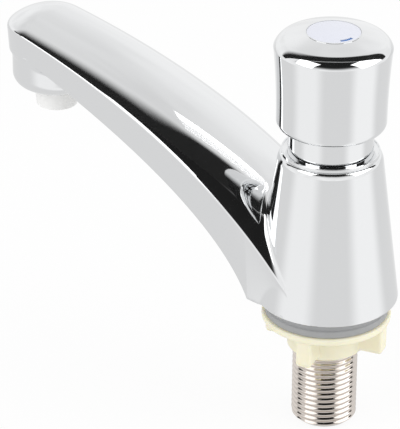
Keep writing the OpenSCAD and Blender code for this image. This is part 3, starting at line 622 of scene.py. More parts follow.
def skin(field, xs, ys, zs, place):
    """Points, quads and point normals of the surface on which a field is zero.

    The field is read on a grid of nodes, which place() puts in space. Each cell that the surface
    passes through gets one point, set where the planes at its crossed edges meet best, and each
    crossed edge gets one quad between the four cells round it."""
    grid = [np.asarray(axis) for axis in (xs, ys, zs)]
    cell = grid[1][1] - grid[1][0]
    values = rough_look(field, grid, place)
    for x, layer in zip(grid[0], values):
        j, k = np.nonzero(np.abs(layer) < NEAR_CELLS * cell)
        layer[j, k] = field(*place(x, grid[1][j], grid[2][k]))
    inside = values < 0
    cell_shape = [n - 1 for n in values.shape]
    hits, slopes, cells = [], [], []
    for axis in range(3):
        start = np.argwhere(np.diff(inside, axis=axis))
        end = start.copy()
        end[:, axis] += 1
        a = np.stack(place(*(grid[i][start[:, i]] for i in range(3))), 1)
        b = np.stack(place(*(grid[i][end[:, i]] for i in range(3))), 1)
        value_a, value_b = values[tuple(start.T)], values[tuple(end.T)]
        outward = value_a < 0
        for _ in range(4):
            middle = a + (b - a) * np.clip(value_a / (value_a - value_b), 0.05, 0.95)[:, None]
            value = field(*middle.T)
            first = (value < 0) == (value_a < 0)
            a[first], value_a[first] = middle[first], value[first]
            b[~first], value_b[~first] = middle[~first], value[~first]
        hit = a + (b - a) * (value_a / (value_a - value_b))[:, None]
        hits.append(hit)
        slopes.append(gradient(field, hit))
        round_edge = []
        for step_one, step_two in ((-1, -1), (0, -1), (0, 0), (-1, 0)):
            beside = start.copy()
            beside[:, (axis + 1) % 3] += step_one
            beside[:, (axis + 2) % 3] += step_two
            round_edge.append(np.ravel_multi_index(beside.T, cell_shape))
        quad = np.stack(round_edge, 1)
        quad[~outward] = quad[~outward, ::-1]
        cells.append(quad)
    hits, slopes, cells = (np.concatenate(part) for part in (hits, slopes, cells))
    used, quads = np.unique(cells, return_inverse=True)
    quads = quads.reshape(-1, 4)
    points = settle(field, quads, hits, slopes, len(used), cell)
    return points, quads.tolist(), gradient(field, points)


def rough_look(field, grid, place, stride=4):
    """The field on every fourth node, spread to the nodes between, so that only near ones are read again."""
    few = [axis[::stride] for axis in grid]
    rough = np.stack([field(*place(x, few[1][:, None], few[2][None, :])) for x in few[0]])
    nearest = [
        np.minimum((np.arange(len(axis)) + stride // 2) // stride, count - 1)
        for axis, count in zip(grid, rough.shape)
    ]
    return rough[np.ix_(*nearest)]


def settle(field, quads, hits, slopes, count, cell):
    """The point of each cell: where the planes at its crossed edges meet, then moved onto the surface."""
    owner = quads.ravel()
    number = np.bincount(owner, minlength=count)
    spread = np.repeat(np.arange(len(hits)), 4)

    def gather(weights):
        return np.bincount(owner, weights[spread], minlength=count)

    middle = np.stack([gather(hits[:, i]) for i in range(3)], 1) / number[:, None]
    square = np.empty((count, 3, 3))
    for i in range(3):
        for j in range(3):
            square[:, i, j] = gather(slopes[:, i] * slopes[:, j])
    pull = np.empty((count, 3))
    depth = (slopes * hits).sum(1)
    for i in range(3):
        pull[:, i] = gather(slopes[:, i] * depth)
    pull -= np.einsum("nij,nj->ni", square, middle)
    move = np.linalg.solve(square + MIDDLE_HOLD * np.eye(3), pull[:, :, None])[:, :, 0]
    size = np.linalg.norm(move, axis=1)
    move *= np.minimum(1, MOVE_CELLS * cell / np.maximum(size, 1e-12))[:, None]
    points = middle + move
    for _ in range(2):
        value = np.clip(field(*points.T), -STEP_CELLS * cell, STEP_CELLS * cell)
        points = points - gradient(field, points) * value[:, None]
    return points


# Fields of the cast body: each is a distance, negative inside


# A fillet is looked for where two forms' distances differ by less than so many radii
FILLET_SPAN = 2.5
# Step over which a slope is measured
SLOPE_STEP = 0.01 * MM


def square_edge(a, b, radius):
    """Where two forms at right angles overlap, with the edge between them rounded."""
    deep_a, deep_b = np.maximum(a + radius, 0), np.maximum(b + radius, 0)
    return np.minimum(np.maximum(a, b) + radius, 0) + np.hypot(deep_a, deep_b) - radius


def filleted(one, two, radius, x, y, z):
    """Two forms joined, with a hollow fillet of about that radius, whatever the angle between them."""
    x, y, z = np.broadcast_arrays(x, y, z)
    a, b = one(x, y, z), two(x, y, z)
    joined = np.minimum(a, b)
    radius = np.broadcast_to(radius, joined.shape)
    near = (np.abs(a - b) < FILLET_SPAN * radius) & (np.abs(joined) < radius)
    if not near.any():
        return joined
    spots = np.stack([x[near], y[near], z[near]], 1)
    cos = np.clip((gradient(one, spots) * gradient(two, spots)).sum(1), -1, 1)
    reach = np.maximum(4 * radius[near] * (1 - np.sqrt((1 + cos) / 2)), 1e-9)
    overlap = np.maximum(reach - np.abs(a - b)[near], 0)
    joined[near] -= overlap**2 / (4 * reach)
    return joined


def edged(one, two, radius, x, y, z):
    """Where two forms overlap, with the edge between them rounded at any angle."""

    def less(form):
        return lambda x, y, z: -form(x, y, z)

    return -filleted(less(one), less(two), radius, x, y, z)


def upright_cylinder(x, y, z, centre_x, radius, z_low, z_high):
    """Distance to an upright cylinder."""
    return np.maximum(np.hypot(x - centre_x, y) - radius, np.maximum(z_low - z, z - z_high))


def tangent_curve(start, end, start_rise, end_rise):
    """Quadratic curve between two points, whose middle point is where its end tangents meet."""
    rise_a, rise_b = math.tan(start_rise), math.tan(end_rise)
    x = (end[1] - start[1] + rise_a * start[0] - rise_b * end[0]) / (rise_a - rise_b)
    return start, (x, start[1] + rise_a * (x - start[0])), end


def curve_height(curve, x):
    """Height of a quadratic curve at a distance from the axis."""
    (x0, z0), (x1, z1), (x2, z2) = curve
    bend = x0 - 2 * x1 + x2
    run = 2 * (x1 - x0)
    t = 2 * (x - x0) / (run + np.sqrt(np.maximum(0, run * run + 4 * bend * (x - x0))))
    return (1 - t) ** 2 * z0 + 2 * t * (1 - t) * z1 + t * t * z2


class TapForm:
    """The cast body's form, worked out from its sizes."""

    def __init__(self, pillar, spout):
        self.pillar_sizes, self.sizes = pillar, spout
        self.taper = (pillar.base_d - pillar.top_d) / 2 / pillar.height
        # centre of the shoulder's arc, which is tangent to the taper
        self.top_mid_z = pillar.height - pillar.top_round * math.sin(pillar.top_round_end)
        taper_r = pillar.base_d / 2 - self.taper * self.top_mid_z
        self.top_mid_r = taper_r - pillar.top_round * math.hypot(1, self.taper)
        self.nose_r = spout.nose_d / 2
        self.nose_x = spout.reach + spout.nose_ahead
        self.root_r = pillar.base_d / 2 - self.taper * spout.crease_root_h
        self.draw_in = math.asin((self.root_r - self.nose_r) / self.nose_x)
        self.nose_start = self.nose_x + self.nose_r * math.sin(self.draw_in)
        self.crease = tangent_curve(
            (0.0, spout.crease_root_h), (self.nose_x, spout.crease_tip_h),
            spout.crease_root_rise, spout.crease_tip_rise,
        )
        self.under = tangent_curve(
            (spout.heel_x, 0.0), (spout.reach, spout.under_tip_h),
            spout.under_root_rise, spout.under_tip_rise,
        )

        # upright wells: axis, radius, lowest and highest level, taken from the pieces that they hold
        gap = spout.fit_gap
        above = pillar.height + MM
        cartridge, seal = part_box("cartridge_housing"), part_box("aerator_seal")
        shank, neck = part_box("threaded_shank"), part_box("neck_sleeve")
        chamber_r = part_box("lower_o_ring")[1].y + gap
        self.hollow_start = chamber_r + 2 * spout.wall
        self.wells = [
            (0, neck[1].y + gap, neck[0].z, above),
            (0, chamber_r, cartridge[0].z, above),
            (0, spout.way_d / 2, -MM, above),
            (0, shank[1].y + gap, -MM, shank[1].z),
            (spout.reach, seal[1].y + gap, spout.boss_h - MM, seal[1].z),
            (spout.reach, spout.way_d / 2, spout.boss_h, spout.crease_tip_h - spout.wall),
        ]

    def crease_height(self, x):
        """Height of the crease, which levels off round the nose."""
        ahead = np.maximum(0, x - self.nose_x)
        level = math.tan(self.sizes.crease_tip_rise) * ahead * (1 - ahead / self.nose_r)
        return curve_height(self.crease, np.clip(x, 0, self.nose_x)) + level

    def under_height(self, x):
        """Height of the underside."""
        return curve_height(self.under, np.clip(x, self.sizes.heel_x, self.sizes.reach))

    def half_width(self, x):
        """Half the spout's width, up to the round nose."""
        along = np.clip(x / self.nose_x, 0, 1)
        swell = self.sizes.side_swell * 4 * along * (1 - along)
        x = np.clip(x, 0, self.nose_start)
        return (self.root_r - x * math.sin(self.draw_in)) / math.cos(self.draw_in) + swell

    def mix(self, at_root, at_tip, x):
        """A size that changes evenly from the axis to the nose, where the change dies out softly."""
        soft = self.sizes.taper_end
        along = np.clip(x / self.nose_x, 0, 1 + soft)
        share = along - np.maximum(along - (1 - soft), 0) ** 2 / (4 * soft)
        return at_root + (at_tip - at_root) * share

    def depth(self, x, y):
        """Distance inside the spout's outline, seen from above: straight sides and a round nose."""
        beside = (self.half_width(x) - np.abs(y)) * math.cos(self.draw_in)
        nose = self.nose_r - np.hypot(x - self.nose_x, y)
        return np.where(x - self.nose_x > np.abs(y) * math.tan(self.draw_in), nose, beside)

    def crown_height(self, x, y):
        """Height of the spout's top: part of a half-ellipse across it, turned to a cap over the nose."""
        s = self.sizes
        off = np.maximum(1 - self.depth(x, y) / self.mix(self.root_r, self.nose_r, x), 0)
        full = s.crown_full
        base = math.sqrt(1 - full**2)
        arc = np.sqrt(np.maximum(1 - (full * np.minimum(off, 1)) ** 2, 0)) - base
        edge_slope = full**2 / base / (1 - base)
        rise = arc / (1 - base) - edge_slope * np.maximum(off - 1, 0)
        return self.crease_height(x) + self.mix(s.crown_root_h, s.crown_tip_h, x) * rise

    def crease_rounding(self, x, y):
        """Rounding of the crease: crisp along the sides, and soft straight ahead on the nose."""
        s = self.sizes
        ahead = x - self.nose_x
        facing = np.clip(ahead / np.maximum(np.hypot(ahead, y), MM), 0, 1)
        share = np.clip(facing / math.cos(s.nose_spread), 0, 1)
        return s.crease_round + (s.nose_round - s.crease_round) * share * share * (3 - 2 * share)

    def crown(self, x, y, z):
        """Distance above the crown."""
        top = self.crown_height(x, y)
        slope_x = (self.crown_height(x + SLOPE_STEP, y) - top) / SLOPE_STEP
        slope_y = (self.crown_height(x, y + SLOPE_STEP) - top) / SLOPE_STEP
        return (z - top) / np.sqrt(1 + slope_x**2 + slope_y**2)

    def sides(self, x, y, z):
        """Distance outside the sides and the nose."""
        s = self.sizes
        crease, under = self.crease_height(x), self.under_height(x)
        drop = np.clip((crease - z) / np.maximum(crease - under, MM), -0.5, 1.5)
        lean = self.mix(s.lean_root, s.lean_tip, x) * drop
        return lean - self.depth(x, y)

    def underside(self, x, y, z):
        """Distance below the underside."""
        bottom = self.under_height(x)
        slope = (self.under_height(x + SLOPE_STEP) - bottom) / SLOPE_STEP
        return (bottom - z) / np.sqrt(1 + slope**2)

    def spout(self, x, y, z):
        """The spout without rounded edges."""
        faces = self.crown(x, y, z), self.sides(x, y, z), self.underside(x, y, z)
        return np.maximum.reduce(np.broadcast_arrays(*faces))

    def pillar(self, x, y, z):
        """The tapered pillar and its rounded shoulder."""
        p = self.pillar_sizes
        across = np.hypot(x, y)
        side = (across - (p.base_d / 2 - self.taper * z)) / math.hypot(1, self.taper)
        out, up = across - self.top_mid_r, z - self.top_mid_z
        shoulder = np.hypot(np.maximum(out, 0), up) - p.top_round
        form = square_edge(np.where(up > self.taper * out, shoulder, side), z - p.height, p.top_edge)
        return square_edge(form, -z, p.base_round)

    def boss(self, x, y, z):
        """The round boss of the outlet."""
        s = self.sizes
        # inside the spout it narrows, to stay clear of the sides
        narrowing = np.maximum(z - s.under_tip_h - s.boss_fillet, 0)
        wall = np.hypot(x - s.reach, y) - s.boss_d / 2 + narrowing
        form = square_edge(wall, s.boss_h - z, s.boss_round)
        return np.maximum(form, z - s.crease_tip_h)

    def hollows(self, x, y, z):
        """The water ways and seats cut into the body."""
        s = self.sizes
        wells = [upright_cylinder(x, y, z, *well) for well in self.wells]
        inside = np.maximum(self.spout(x, y, z) + s.wall, self.hollow_start - x)
        port = np.maximum(np.hypot(y, z - s.port_h) - s.port_d / 2, np.abs(x - self.hollow_start) - s.wall)
        return np.minimum(np.minimum.reduce(wells), np.minimum(inside, port))

    def outside(self, x, y, z):
        """The body without its hollows: each face of the spout is filleted to the pillar, then they meet."""
        p, s = self.pillar_sizes, self.sizes

        def top(x, y, z):
            hollow = p.low_fillet + (p.top_fillet - p.low_fillet) * np.clip(z / p.height, 0, 1)
            return filleted(self.pillar, self.crown, hollow, x, y, z)

        def flank(x, y, z):
            return filleted(self.pillar, self.sides, p.side_fillet, x, y, z)

        def belly(x, y, z):
            return filleted(self.pillar, self.underside, p.under_fillet, x, y, z)

        def upper(x, y, z):
            return edged(top, flank, self.crease_rounding(x, y), x, y, z)

        def arm(x, y, z):
            form = edged(upper, belly, s.under_round, x, y, z)
            return np.maximum(form, np.maximum(np.minimum(self.pillar(x, y, z), -x), -z))

        return filleted(arm, self.boss, s.boss_fillet, x, y, z)

    def whole(self, x, y, z):
        """The body with its hollows."""
        return np.maximum(self.outside(x, y, z), -self.hollows(x, y, z))

    def place(self, x, y, z):
        """Place of a grid node: rows along the spout follow the crease in height and width."""
        wide = self.half_width(x) / self.root_r
        return x + 0 * y + 0 * z, y * wide + 0 * z, z + self.crease_height(x) + 0 * y


# Operators


class TAP_OT_body(bpy.types.Operator):
    """Cast body: pillar, spout and outlet boss in one piece"""

    bl_idname = "tap.body"
    bl_label = "Cast body"

    def execute(self, context):
        pillar, spout = context.scene.tap_pillar, context.scene.tap_spout
        form = TapForm(pillar, spout)
        cell = pillar.cell
        half = form.root_r
        # the crease runs through the middle of a row of cells, at the grid's half width and height 0
        columns = math.ceil(pillar.grid_wide * half / cell)
        xs = np.arange(-pillar.base_d / 2 - 2 * cell, form.nose_x + form.nose_r + 2 * cell, cell)
        ys = (np.arange(-columns, columns + 1) + 0.5) * half / round(half / cell)
        below, above = math.ceil(pillar.grid_below / cell), math.ceil(pillar.grid_above / cell)
        zs = np.arange(-below, above) * cell + cell / 2
        points, faces, normals = skin(form.whole, xs, ys, zs, form.place)
        corners = normals[np.array(faces).ravel()]
        add_piece("cast_body", "tap_body", points, faces, corners)
        return {"FINISHED"}


class TAP_OT_neck(bpy.types.Operator):
    """Collar ring on the pillar's top and the turned neck through it"""

    bl_idname = "tap.neck"
    bl_label = "Neck and collar"

    def execute(self, context):
        s = context.scene.tap_button
        lowest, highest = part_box("collar_ring")
        neck_low, neck_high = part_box("neck_sleeve")
        inner = neck_high.y + s.fit_gap
        rim_r, lip_z = inner + s.collar_w, highest.z - s.collar_drop
        lip_r = rim_r - s.collar_lip
        profile = rounded(
            [
                (inner, lowest.z), (rim_r, lowest.z), (rim_r, lip_z), (lip_r, lip_z),
                (lip_r, lip_z - s.collar_wall), (inner, lowest.z + s.fit_gap),
            ],
            [0, 0, s.collar_round, s.collar_round, 0, 0],
        )
        add_piece("neck_collar", "collar_ring", *turned(profile))
        bush_low, bush_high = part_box("guide_bush")
        bush_r, bore_r = bush_high.y + s.fit_gap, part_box("piston")[1].y + 2 * s.fit_gap
        profile = rounded(
            [
                (bore_r, neck_low.z), (neck_high.y, neck_low.z), (neck_high.y, neck_high.z),
                (bush_r, neck_high.z), (bush_r, bush_low.z), (bore_r, bush_low.z),
            ],
            [0, 0, s.neck_round, s.neck_round / 2, 0, 0],
        )
        add_piece("turned_neck", "neck_sleeve", *turned(profile))
        return {"FINISHED"}


class TAP_OT_button(bpy.types.Operator):
    """Push button: flared wall, crisp rim, rounded shoulder and dome"""

    bl_idname = "tap.button"
    bl_label = "Push button"

    def execute(self, context):
        s = context.scene.tap_button
        foot_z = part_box("button_cap")[0].z
        rim_z, rim_r, low_r = foot_z + s.rim_h, s.rim_d / 2, s.low_d / 2
        shoulder = (
            rim_r - s.shoulder_r * math.sin(s.shoulder_end), rim_z - s.shoulder_r * math.cos(s.shoulder_end)
        )
        dome_end = math.asin(shoulder[0] / (s.dome_r - s.shoulder_r))
        dome = (0.0, shoulder[1] - (s.dome_r - s.shoulder_r) * math.cos(dome_end))
        rise = s.rim_h - s.foot_round
        wall = [
            (low_r + (rim_r - low_r) * t * t, foot_z + s.foot_round + rise * t)
            for t in np.linspace(0, 1, 25)
        ]
        index_low, index_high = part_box("index_disc")
        index_r = index_high.y + s.fit_gap
        groove_r, groove_z = index_high.y + s.groove_w, index_high.z - s.groove_depth
        hole_end = math.degrees(math.asin(groove_r / s.dome_r))
        dome_deg, shoulder_deg = math.degrees(dome_end), math.degrees(s.shoulder_end)
        outer = [
            bow((low_r - s.foot_round, foot_z + s.foot_round), s.foot_round, -90, 0, 16),
            flared(wall),
            bow(shoulder, s.shoulder_r, 90 - shoulder_deg, 90 - dome_deg, 24),
            bow(dome, s.dome_r, 90 - dome_deg, 90 - hole_end, 16),
        ]
        neck_high, stem_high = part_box("neck_sleeve")[1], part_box("stem")[1]
        neck_r, boss_r, boss_z = neck_high.y + s.air_gap, s.boss_d / 2, neck_high.z + s.boss_rise
        stem_r, screw_r = stem_high.y + s.fit_gap, s.screw_hole / 2
        pocket_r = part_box("cap_screw")[1].y + 2 * s.air_gap
        roof_z = dome[1] + s.dome_r * math.cos(dome_end) - s.roof_t
        hole_top = outer[-1][0][-1]
        seat_z = stem_high.z + s.web_t
        corners = [
            tuple(hole_top), (groove_r, groove_z), (index_r, groove_z), (index_r, index_low.z),
            (pocket_r, index_low.z), (pocket_r, seat_z),
            (screw_r, seat_z), (screw_r, stem_high.z), (stem_r, stem_high.z), (stem_r, boss_z),
            (boss_r, boss_z), (boss_r, roof_z), (neck_r, roof_z), (neck_r, foot_z),
            (low_r - s.foot_round, foot_z),
        ]
        inner = [flat(a, b) for a, b in zip(corners[:-1], corners[1:])]
        add_piece("push_button", "button_cap", *turned(outer + inner, 256))
        return {"FINISHED"}


class TAP_OT_index(bpy.types.Operator):
    """Index disc in the button, with its short blue arc"""

    bl_idname = "tap.index"
    bl_label = "Index disc and mark"

    def execute(self, context):
        for node in ("index_disc", "index_mark"):
            dress(node)
        return {"FINISHED"}


class TAP_OT_gasket(bpy.types.Operator):
    """Rubber gasket under the body"""

    bl_idname = "tap.gasket"
    bl_label = "Gasket"

    def execute(self, context):
        lowest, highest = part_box("base_gasket")
        s = context.scene.tap_fixing
        edge_r, middle, groove = s.gasket_round, (lowest.z + highest.z) / 2, s.gasket_groove
        bore_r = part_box("threaded_shank")[1].y + s.gasket_gap
        rim_r = highest.y
        profile = rounded(
            [
                (bore_r, lowest.z), (rim_r, lowest.z), (rim_r, middle - groove), (rim_r - groove, middle),
                (rim_r, middle + groove), (rim_r, highest.z), (bore_r, highest.z),
            ],
            [0, edge_r, groove / 2, groove / 2, groove / 2, edge_r, 0],
        )
        add_piece("deck_gasket", "base_gasket", *turned(profile))
        return {"FINISHED"}


class TAP_OT_nut(bpy.types.Operator):
    """Moulded fixing nut with its flange and wings"""

    bl_idname = "tap.nut"
    bl_label = "Fixing nut"

    def execute(self, context):
        s = context.scene.tap_fixing
        lowest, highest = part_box("fixing_nut")
        bore_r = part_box("threaded_shank")[1].y + s.nut_gap
        round_r = s.nut_round
        seat_z = highest.z - s.flange_t

        def disc(x, y, z, radius, z_low, z_high):
            side = np.hypot(x, y) - radius
            return square_edge(square_edge(side, z_low - z, round_r), z - z_high, round_r / 2)

        def core(x, y, z):
            flange = disc(x, y, z, highest.y, seat_z, highest.z)
            hub = disc(x, y, z, s.hub_d / 2, lowest.z, highest.z)
            return np.minimum(flange, hub)

        def wings(x, y, z):
            found = []
            for i in range(s.wing_count):
                a = s.wing_turn + 2 * math.pi * i / s.wing_count
                along, across = x * math.cos(a) + y * math.sin(a), -x * math.sin(a) + y * math.cos(a)
                slab = square_edge(np.abs(across) - s.wing_t / 2, along - s.wing_reach, round_r)
                slab = square_edge(slab, seat_z - s.wing_drop - z, 2 * round_r)
                found.append(np.maximum(slab, np.maximum(z - highest.z + round_r, -along)))
            return np.minimum.reduce(found)

        def nut(x, y, z):
            return np.maximum(filleted(core, wings, round_r, x, y, z), bore_r - np.hypot(x, y))

        cell = s.nut_cell
        reach = np.arange(-math.ceil(highest.y / cell) - 2, math.ceil(highest.y / cell) + 3) * cell
        levels = np.arange(lowest.z - 2.5 * cell, highest.z + 2.5 * cell, cell)
        points, faces, normals = skin(nut, reach, reach, levels, lambda x, y, z: np.broadcast_arrays(x, y, z))
        add_piece("wing_nut", "fixing_nut", points, faces, normals[np.array(faces).ravel()])
        return {"FINISHED"}


class TAP_OT_shank(bpy.types.Operator):
    """Threaded shank with its helical pipe thread"""

    bl_idname = "tap.shank"
    bl_label = "Threaded shank"

    def execute(self, context):
        s = context.scene.tap_fixing
        lowest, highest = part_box("threaded_shank")
        crest_r, bore_r = highest.y, s.shank_bore / 2
        turns = s.thread_turns
        angles, spokes = round_angles(turns)
        heights = np.arange(lowest.z, highest.z, s.pitch / s.thread_rows)
        heights = np.append(heights, highest.z)
        phase = (heights[:, None] / s.pitch - angles[None, :] / (2 * math.pi)) % 1
        # crests and roots run into each other in soft waves
        tooth = (1 - np.cos(2 * math.pi * phase)) / 2
        radius = crest_r - s.thread_depth * tooth
        below = np.maximum(0, lowest.z + s.chamfer - heights)[:, None]
        radius = np.minimum(radius, crest_r - below)
        radius = np.where(heights[:, None] > 0, crest_r, radius)
        outer = np.concatenate(
            [radius[:, :, None] * spokes, np.broadcast_to(heights[:, None, None], radius.shape + (1,))], 2
        )
        inner = np.concatenate(
            [np.column_stack([bore_r * spokes, np.full(turns, z)])[None] for z in (highest.z, lowest.z)]
        )
        points = np.concatenate([outer, inner]).reshape(-1, 3)
        rings = len(heights) + 2
        faces = np.concatenate([band(row, rings, turns) for row in range(rings)]).tolist()
        add_piece("threaded_tail", "threaded_shank", points, faces)
        return {"FINISHED"}


class TAP_OT_nozzle(bpy.types.Operator):
    """Nozzle of the aerator in the outlet boss"""

    bl_idname = "tap.nozzle"
    bl_label = "Nozzle"

    def execute(self, context):
        lowest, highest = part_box("aerator_shell")
        reach = (lowest.x + highest.x) / 2
        flange_r = highest.x - reach
        core_low, core_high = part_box("aerator_core")
        s = context.scene.tap_spout
        core_r = core_high.x - reach + s.fit_gap
        bore_r, mouth_r, root_r = s.nozzle_bore / 2, s.nozzle_mouth_d / 2, s.nozzle_d / 2
        flange_z = s.boss_h + s.nozzle_sink
        profile = rounded(
            [
                (bore_r, lowest.z), (mouth_r, lowest.z), (root_r, flange_z), (flange_r, flange_z),
                (flange_r, highest.z), (core_r, highest.z), (core_r, core_low.z), (bore_r, core_low.z),
            ],
            [s.bore_edge, s.mouth_edge, s.root_edge, s.root_edge, 0, 0, 0, 0],
        )
        add_piece("outlet_nozzle", "aerator_shell", *turned(profile, 128, reach))
        return {"FINISHED"}


class TAP_OT_inner(bpy.types.Operator):
    """Finishes of the pieces inside the tap, which keep their CAD shape"""

    bl_idname = "tap.inner"
    bl_label = "Inner pieces"

    def execute(self, context):
        for node in frame["nodes"]:
            dress(node)
        return {"FINISHED"}


class TAP_OT_spring(bpy.types.Operator):
    """Return spring, taken over from the CAD coil as a smooth piece of its own"""

    bl_idname = "tap.spring"
    bl_label = "Return spring"

    def execute(self, context):
        coil = frame["nodes"]["return_spring"]
        points = [coil.matrix_world @ corner.co for corner in coil.data.vertices]
        faces = [tuple(face.vertices) for face in coil.data.polygons]
        spring = add_piece("return_coil", "return_spring", points, faces)
        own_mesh(spring)
        return {"FINISHED"}


class TAP_OT_stage(bpy.types.Operator):
    """Floor, light and camera of the studio"""

    bl_idname = "tap.stage"
    bl_label = "Studio"

    def execute(self, context):
        s = context.scene.tap_stage
        context.scene.view_settings.view_transform = "Standard"
        place_camera(s)
        light_world(s)
        lay_floor(s)
        hang_cards(s)
        hang_lamps(s)
        hang_strip(s)
        return {"FINISHED"}


def view_axes(s):
    """The picture's right, away and up directions in the part's frame, as a matrix of columns."""
    c, d = math.cos(s.view_turn), math.sin(s.view_turn)
    return Matrix(((-c, d, 0), (-d, -c, 0), (0, 0, 1)))


def place_camera(s):
    """Camera at the photograph's place and angle."""
    tilt, roll = s.view_tilt, s.view_roll
    # rows: the picture's right, down and ahead, over right, away and up
    level = Matrix(
        (
            (1, 0, 0),
            (0, -math.sin(tilt), -math.cos(tilt)),
            (0, math.cos(tilt), -math.sin(tilt)),
        )
    )
    rolled = Matrix.Rotation(roll, 3, "Z") @ level
    axes = view_axes(s)
    rows = rolled @ axes.transposed()
    right, down, ahead = rows
    eye = -(rows.transposed() @ Vector(s.aim))
    data = bpy.data.cameras.new("photo_camera")
    data.sensor_fit = "HORIZONTAL"
    data.sensor_width = 36
    data.lens = data.sensor_width * s.lens_pixels / s.picture_width
    data.clip_start, data.clip_end = 0.05, 20
    camera = bpy.data.objects.new("photo_camera", data)
    turn_matrix = Matrix((right, -down, -ahead)).transposed()
    camera.matrix_world = Matrix.Translation(eye) @ turn_matrix.to_4x4()
    bpy.context.scene.collection.objects.link(camera)
    bpy.context.scene.camera = camera


def seen_rays(tree):
    """1 for rays from the camera and for those that glass sends on, else 0, and 1 for mirrored rays."""
    path = add_node(tree, "ShaderNodeLightPath").outputs
    seen = {0: path["Is Camera Ray"], 1: path["Is Transmission Ray"]}
    return add_node(tree, MATH, seen, operation="MAXIMUM"), path["Is Glossy Ray"]


def in_view(tree, vector, s):
    """Right, away and up parts of a vector, as the picture shows them."""
    turned_vector = add_node(
        tree, "ShaderNodeMapping", {"Vector": vector, "Rotation": (0, 0, math.pi - s.view_turn)}
    )
    return add_node(tree, "ShaderNodeSeparateXYZ", {0: turned_vector}).outputs


def light_world(s):
    """Even light on the object, white where it is seen, and the studio's room where metal mirrors it.

    The room has pale walls, a duller ceiling, and is dark above and in front, where the camera stands."""
    world = bpy.data.worlds.new("studio_world")
    bpy.context.scene.world = world
    world.use_nodes = True
    tree = world.node_tree
    tree.nodes.clear()
    direction = add_node(tree, "ShaderNodeTexCoord").outputs["Generated"]
    right, away, up = in_view(tree, direction, s)
    patches = add_node(tree, NOISE, {"Vector": direction, "Scale": 2.5, "Detail": 2.0})
    cloth = add_node(tree, RANGE, span(patches, 0.35, 0.65, 0.92, 1.0), **SMOOTH)
    dull = add_node(tree, RANGE, span(up, s.wall_top, s.ceiling, 1.0, s.ceiling_level), **SMOOTH)
    walls = add_node(tree, MATH, {0: cloth, 1: dull}, operation="MULTIPLY")
    before = add_node(tree, MATH, {0: up, 1: s.dark_lean, 2: away}, operation="MULTIPLY_ADD")
    ahead = add_node(tree, RANGE, span(before, -s.dark_edge, s.dark_edge, 1.0, 0.0), **SMOOTH)
    above = add_node(tree, RANGE, span(up, s.dark_from, s.dark_full, 0.0, 1.0), **SMOOTH)
    dark = add_node(tree, MATH, {0: ahead, 1: above}, operation="MULTIPLY")
    room = add_node(tree, RANGE, span(dark, 0.0, 1.0, 1.0, s.dark_level), **SMOOTH)
    mirrored = add_node(tree, MATH, {0: room, 1: walls}, operation="MULTIPLY")
    seen, glossy = seen_rays(tree)
    level = add_node(tree, "ShaderNodeMix", {"Factor": seen, "A": s.even_light, "B": 1.0})
    level = add_node(tree, "ShaderNodeMix", {"Factor": glossy, "A": level, "B": mirrored})
    light = add_node(tree, "ShaderNodeBackground", {"Color": linear("#FFFFFF"), "Strength": level})
    add_node(tree, "ShaderNodeOutputWorld", {"Surface": light})


def lay_floor(s):
    """Plain white floor, which keeps the object's shadow.

    Metal mirrors it brighter below the lamps and behind."""
    material, tree, surface, place = start_material(
        "White card floor", Base_Color=linear("#F4F4F4"), Roughness=0.6
    )
    right, away, up = in_view(tree, place, s)
    nearer = add_node(tree, MATH, {0: away, 1: -1.0}, operation="MULTIPLY")
    bearing = add_node(tree, MATH, {0: right, 1: nearer}, operation="ARCTAN2")
    behind = add_node(tree, MATH, {0: bearing}, operation="ABSOLUTE")
    far = add_node(tree, RANGE, span(behind, s.far_from, s.far_full, 0.0, s.far_gain), **SMOOTH)
    level = add_node(tree, MATH, {0: far, 1: s.floor_level}, operation="ADD")
    for centre, gain in ((s.left_glow, s.left_gain), (s.right_glow, s.right_gain)):
        off = add_node(tree, MATH, {0: bearing, 1: centre}, operation="SUBTRACT")
        off = add_node(tree, MATH, {0: off}, operation="ABSOLUTE")
        pool = add_node(tree, RANGE, span(off, s.glow_full, s.glow_end, gain, 0.0), **SMOOTH)
        level = add_node(tree, MATH, {0: level, 1: pool}, operation="ADD")
    seen, glossy = seen_rays(tree)
    white = add_node(tree, "ShaderNodeEmission", {"Color": linear("#FFFFFF"), "Strength": 1.0})
    glow = add_node(tree, "ShaderNodeEmission", {"Color": linear("#FFFFFF"), "Strength": level})
    mix = surface
    for share, shader in ((seen, white), (glossy, glow)):
        part = add_node(tree, MATH, {0: share, 1: s.floor_even}, operation="MULTIPLY")
        mix = add_node(tree, "ShaderNodeMixShader", {0: part, 1: mix, 2: shader})
    tree.links.new(mix.outputs[0], tree.nodes["Material Output"].inputs["Surface"])
    half, z = s.floor_half, CAD_BOX[0][2]
    add_card("floor", [(-half, -half, z), (half, -half, z), (half, half, z), (-half, half, z)], material)


def add_card(name, corners, material):
    """A flat card of the studio."""
    mesh = bpy.data.meshes.new(name)
    mesh.from_pydata(corners, [], [tuple(range(len(corners)))])
    mesh.materials.append(material)
    card = bpy.data.objects.new(name, mesh)
    bpy.context.scene.collection.objects.link(card)
    return card


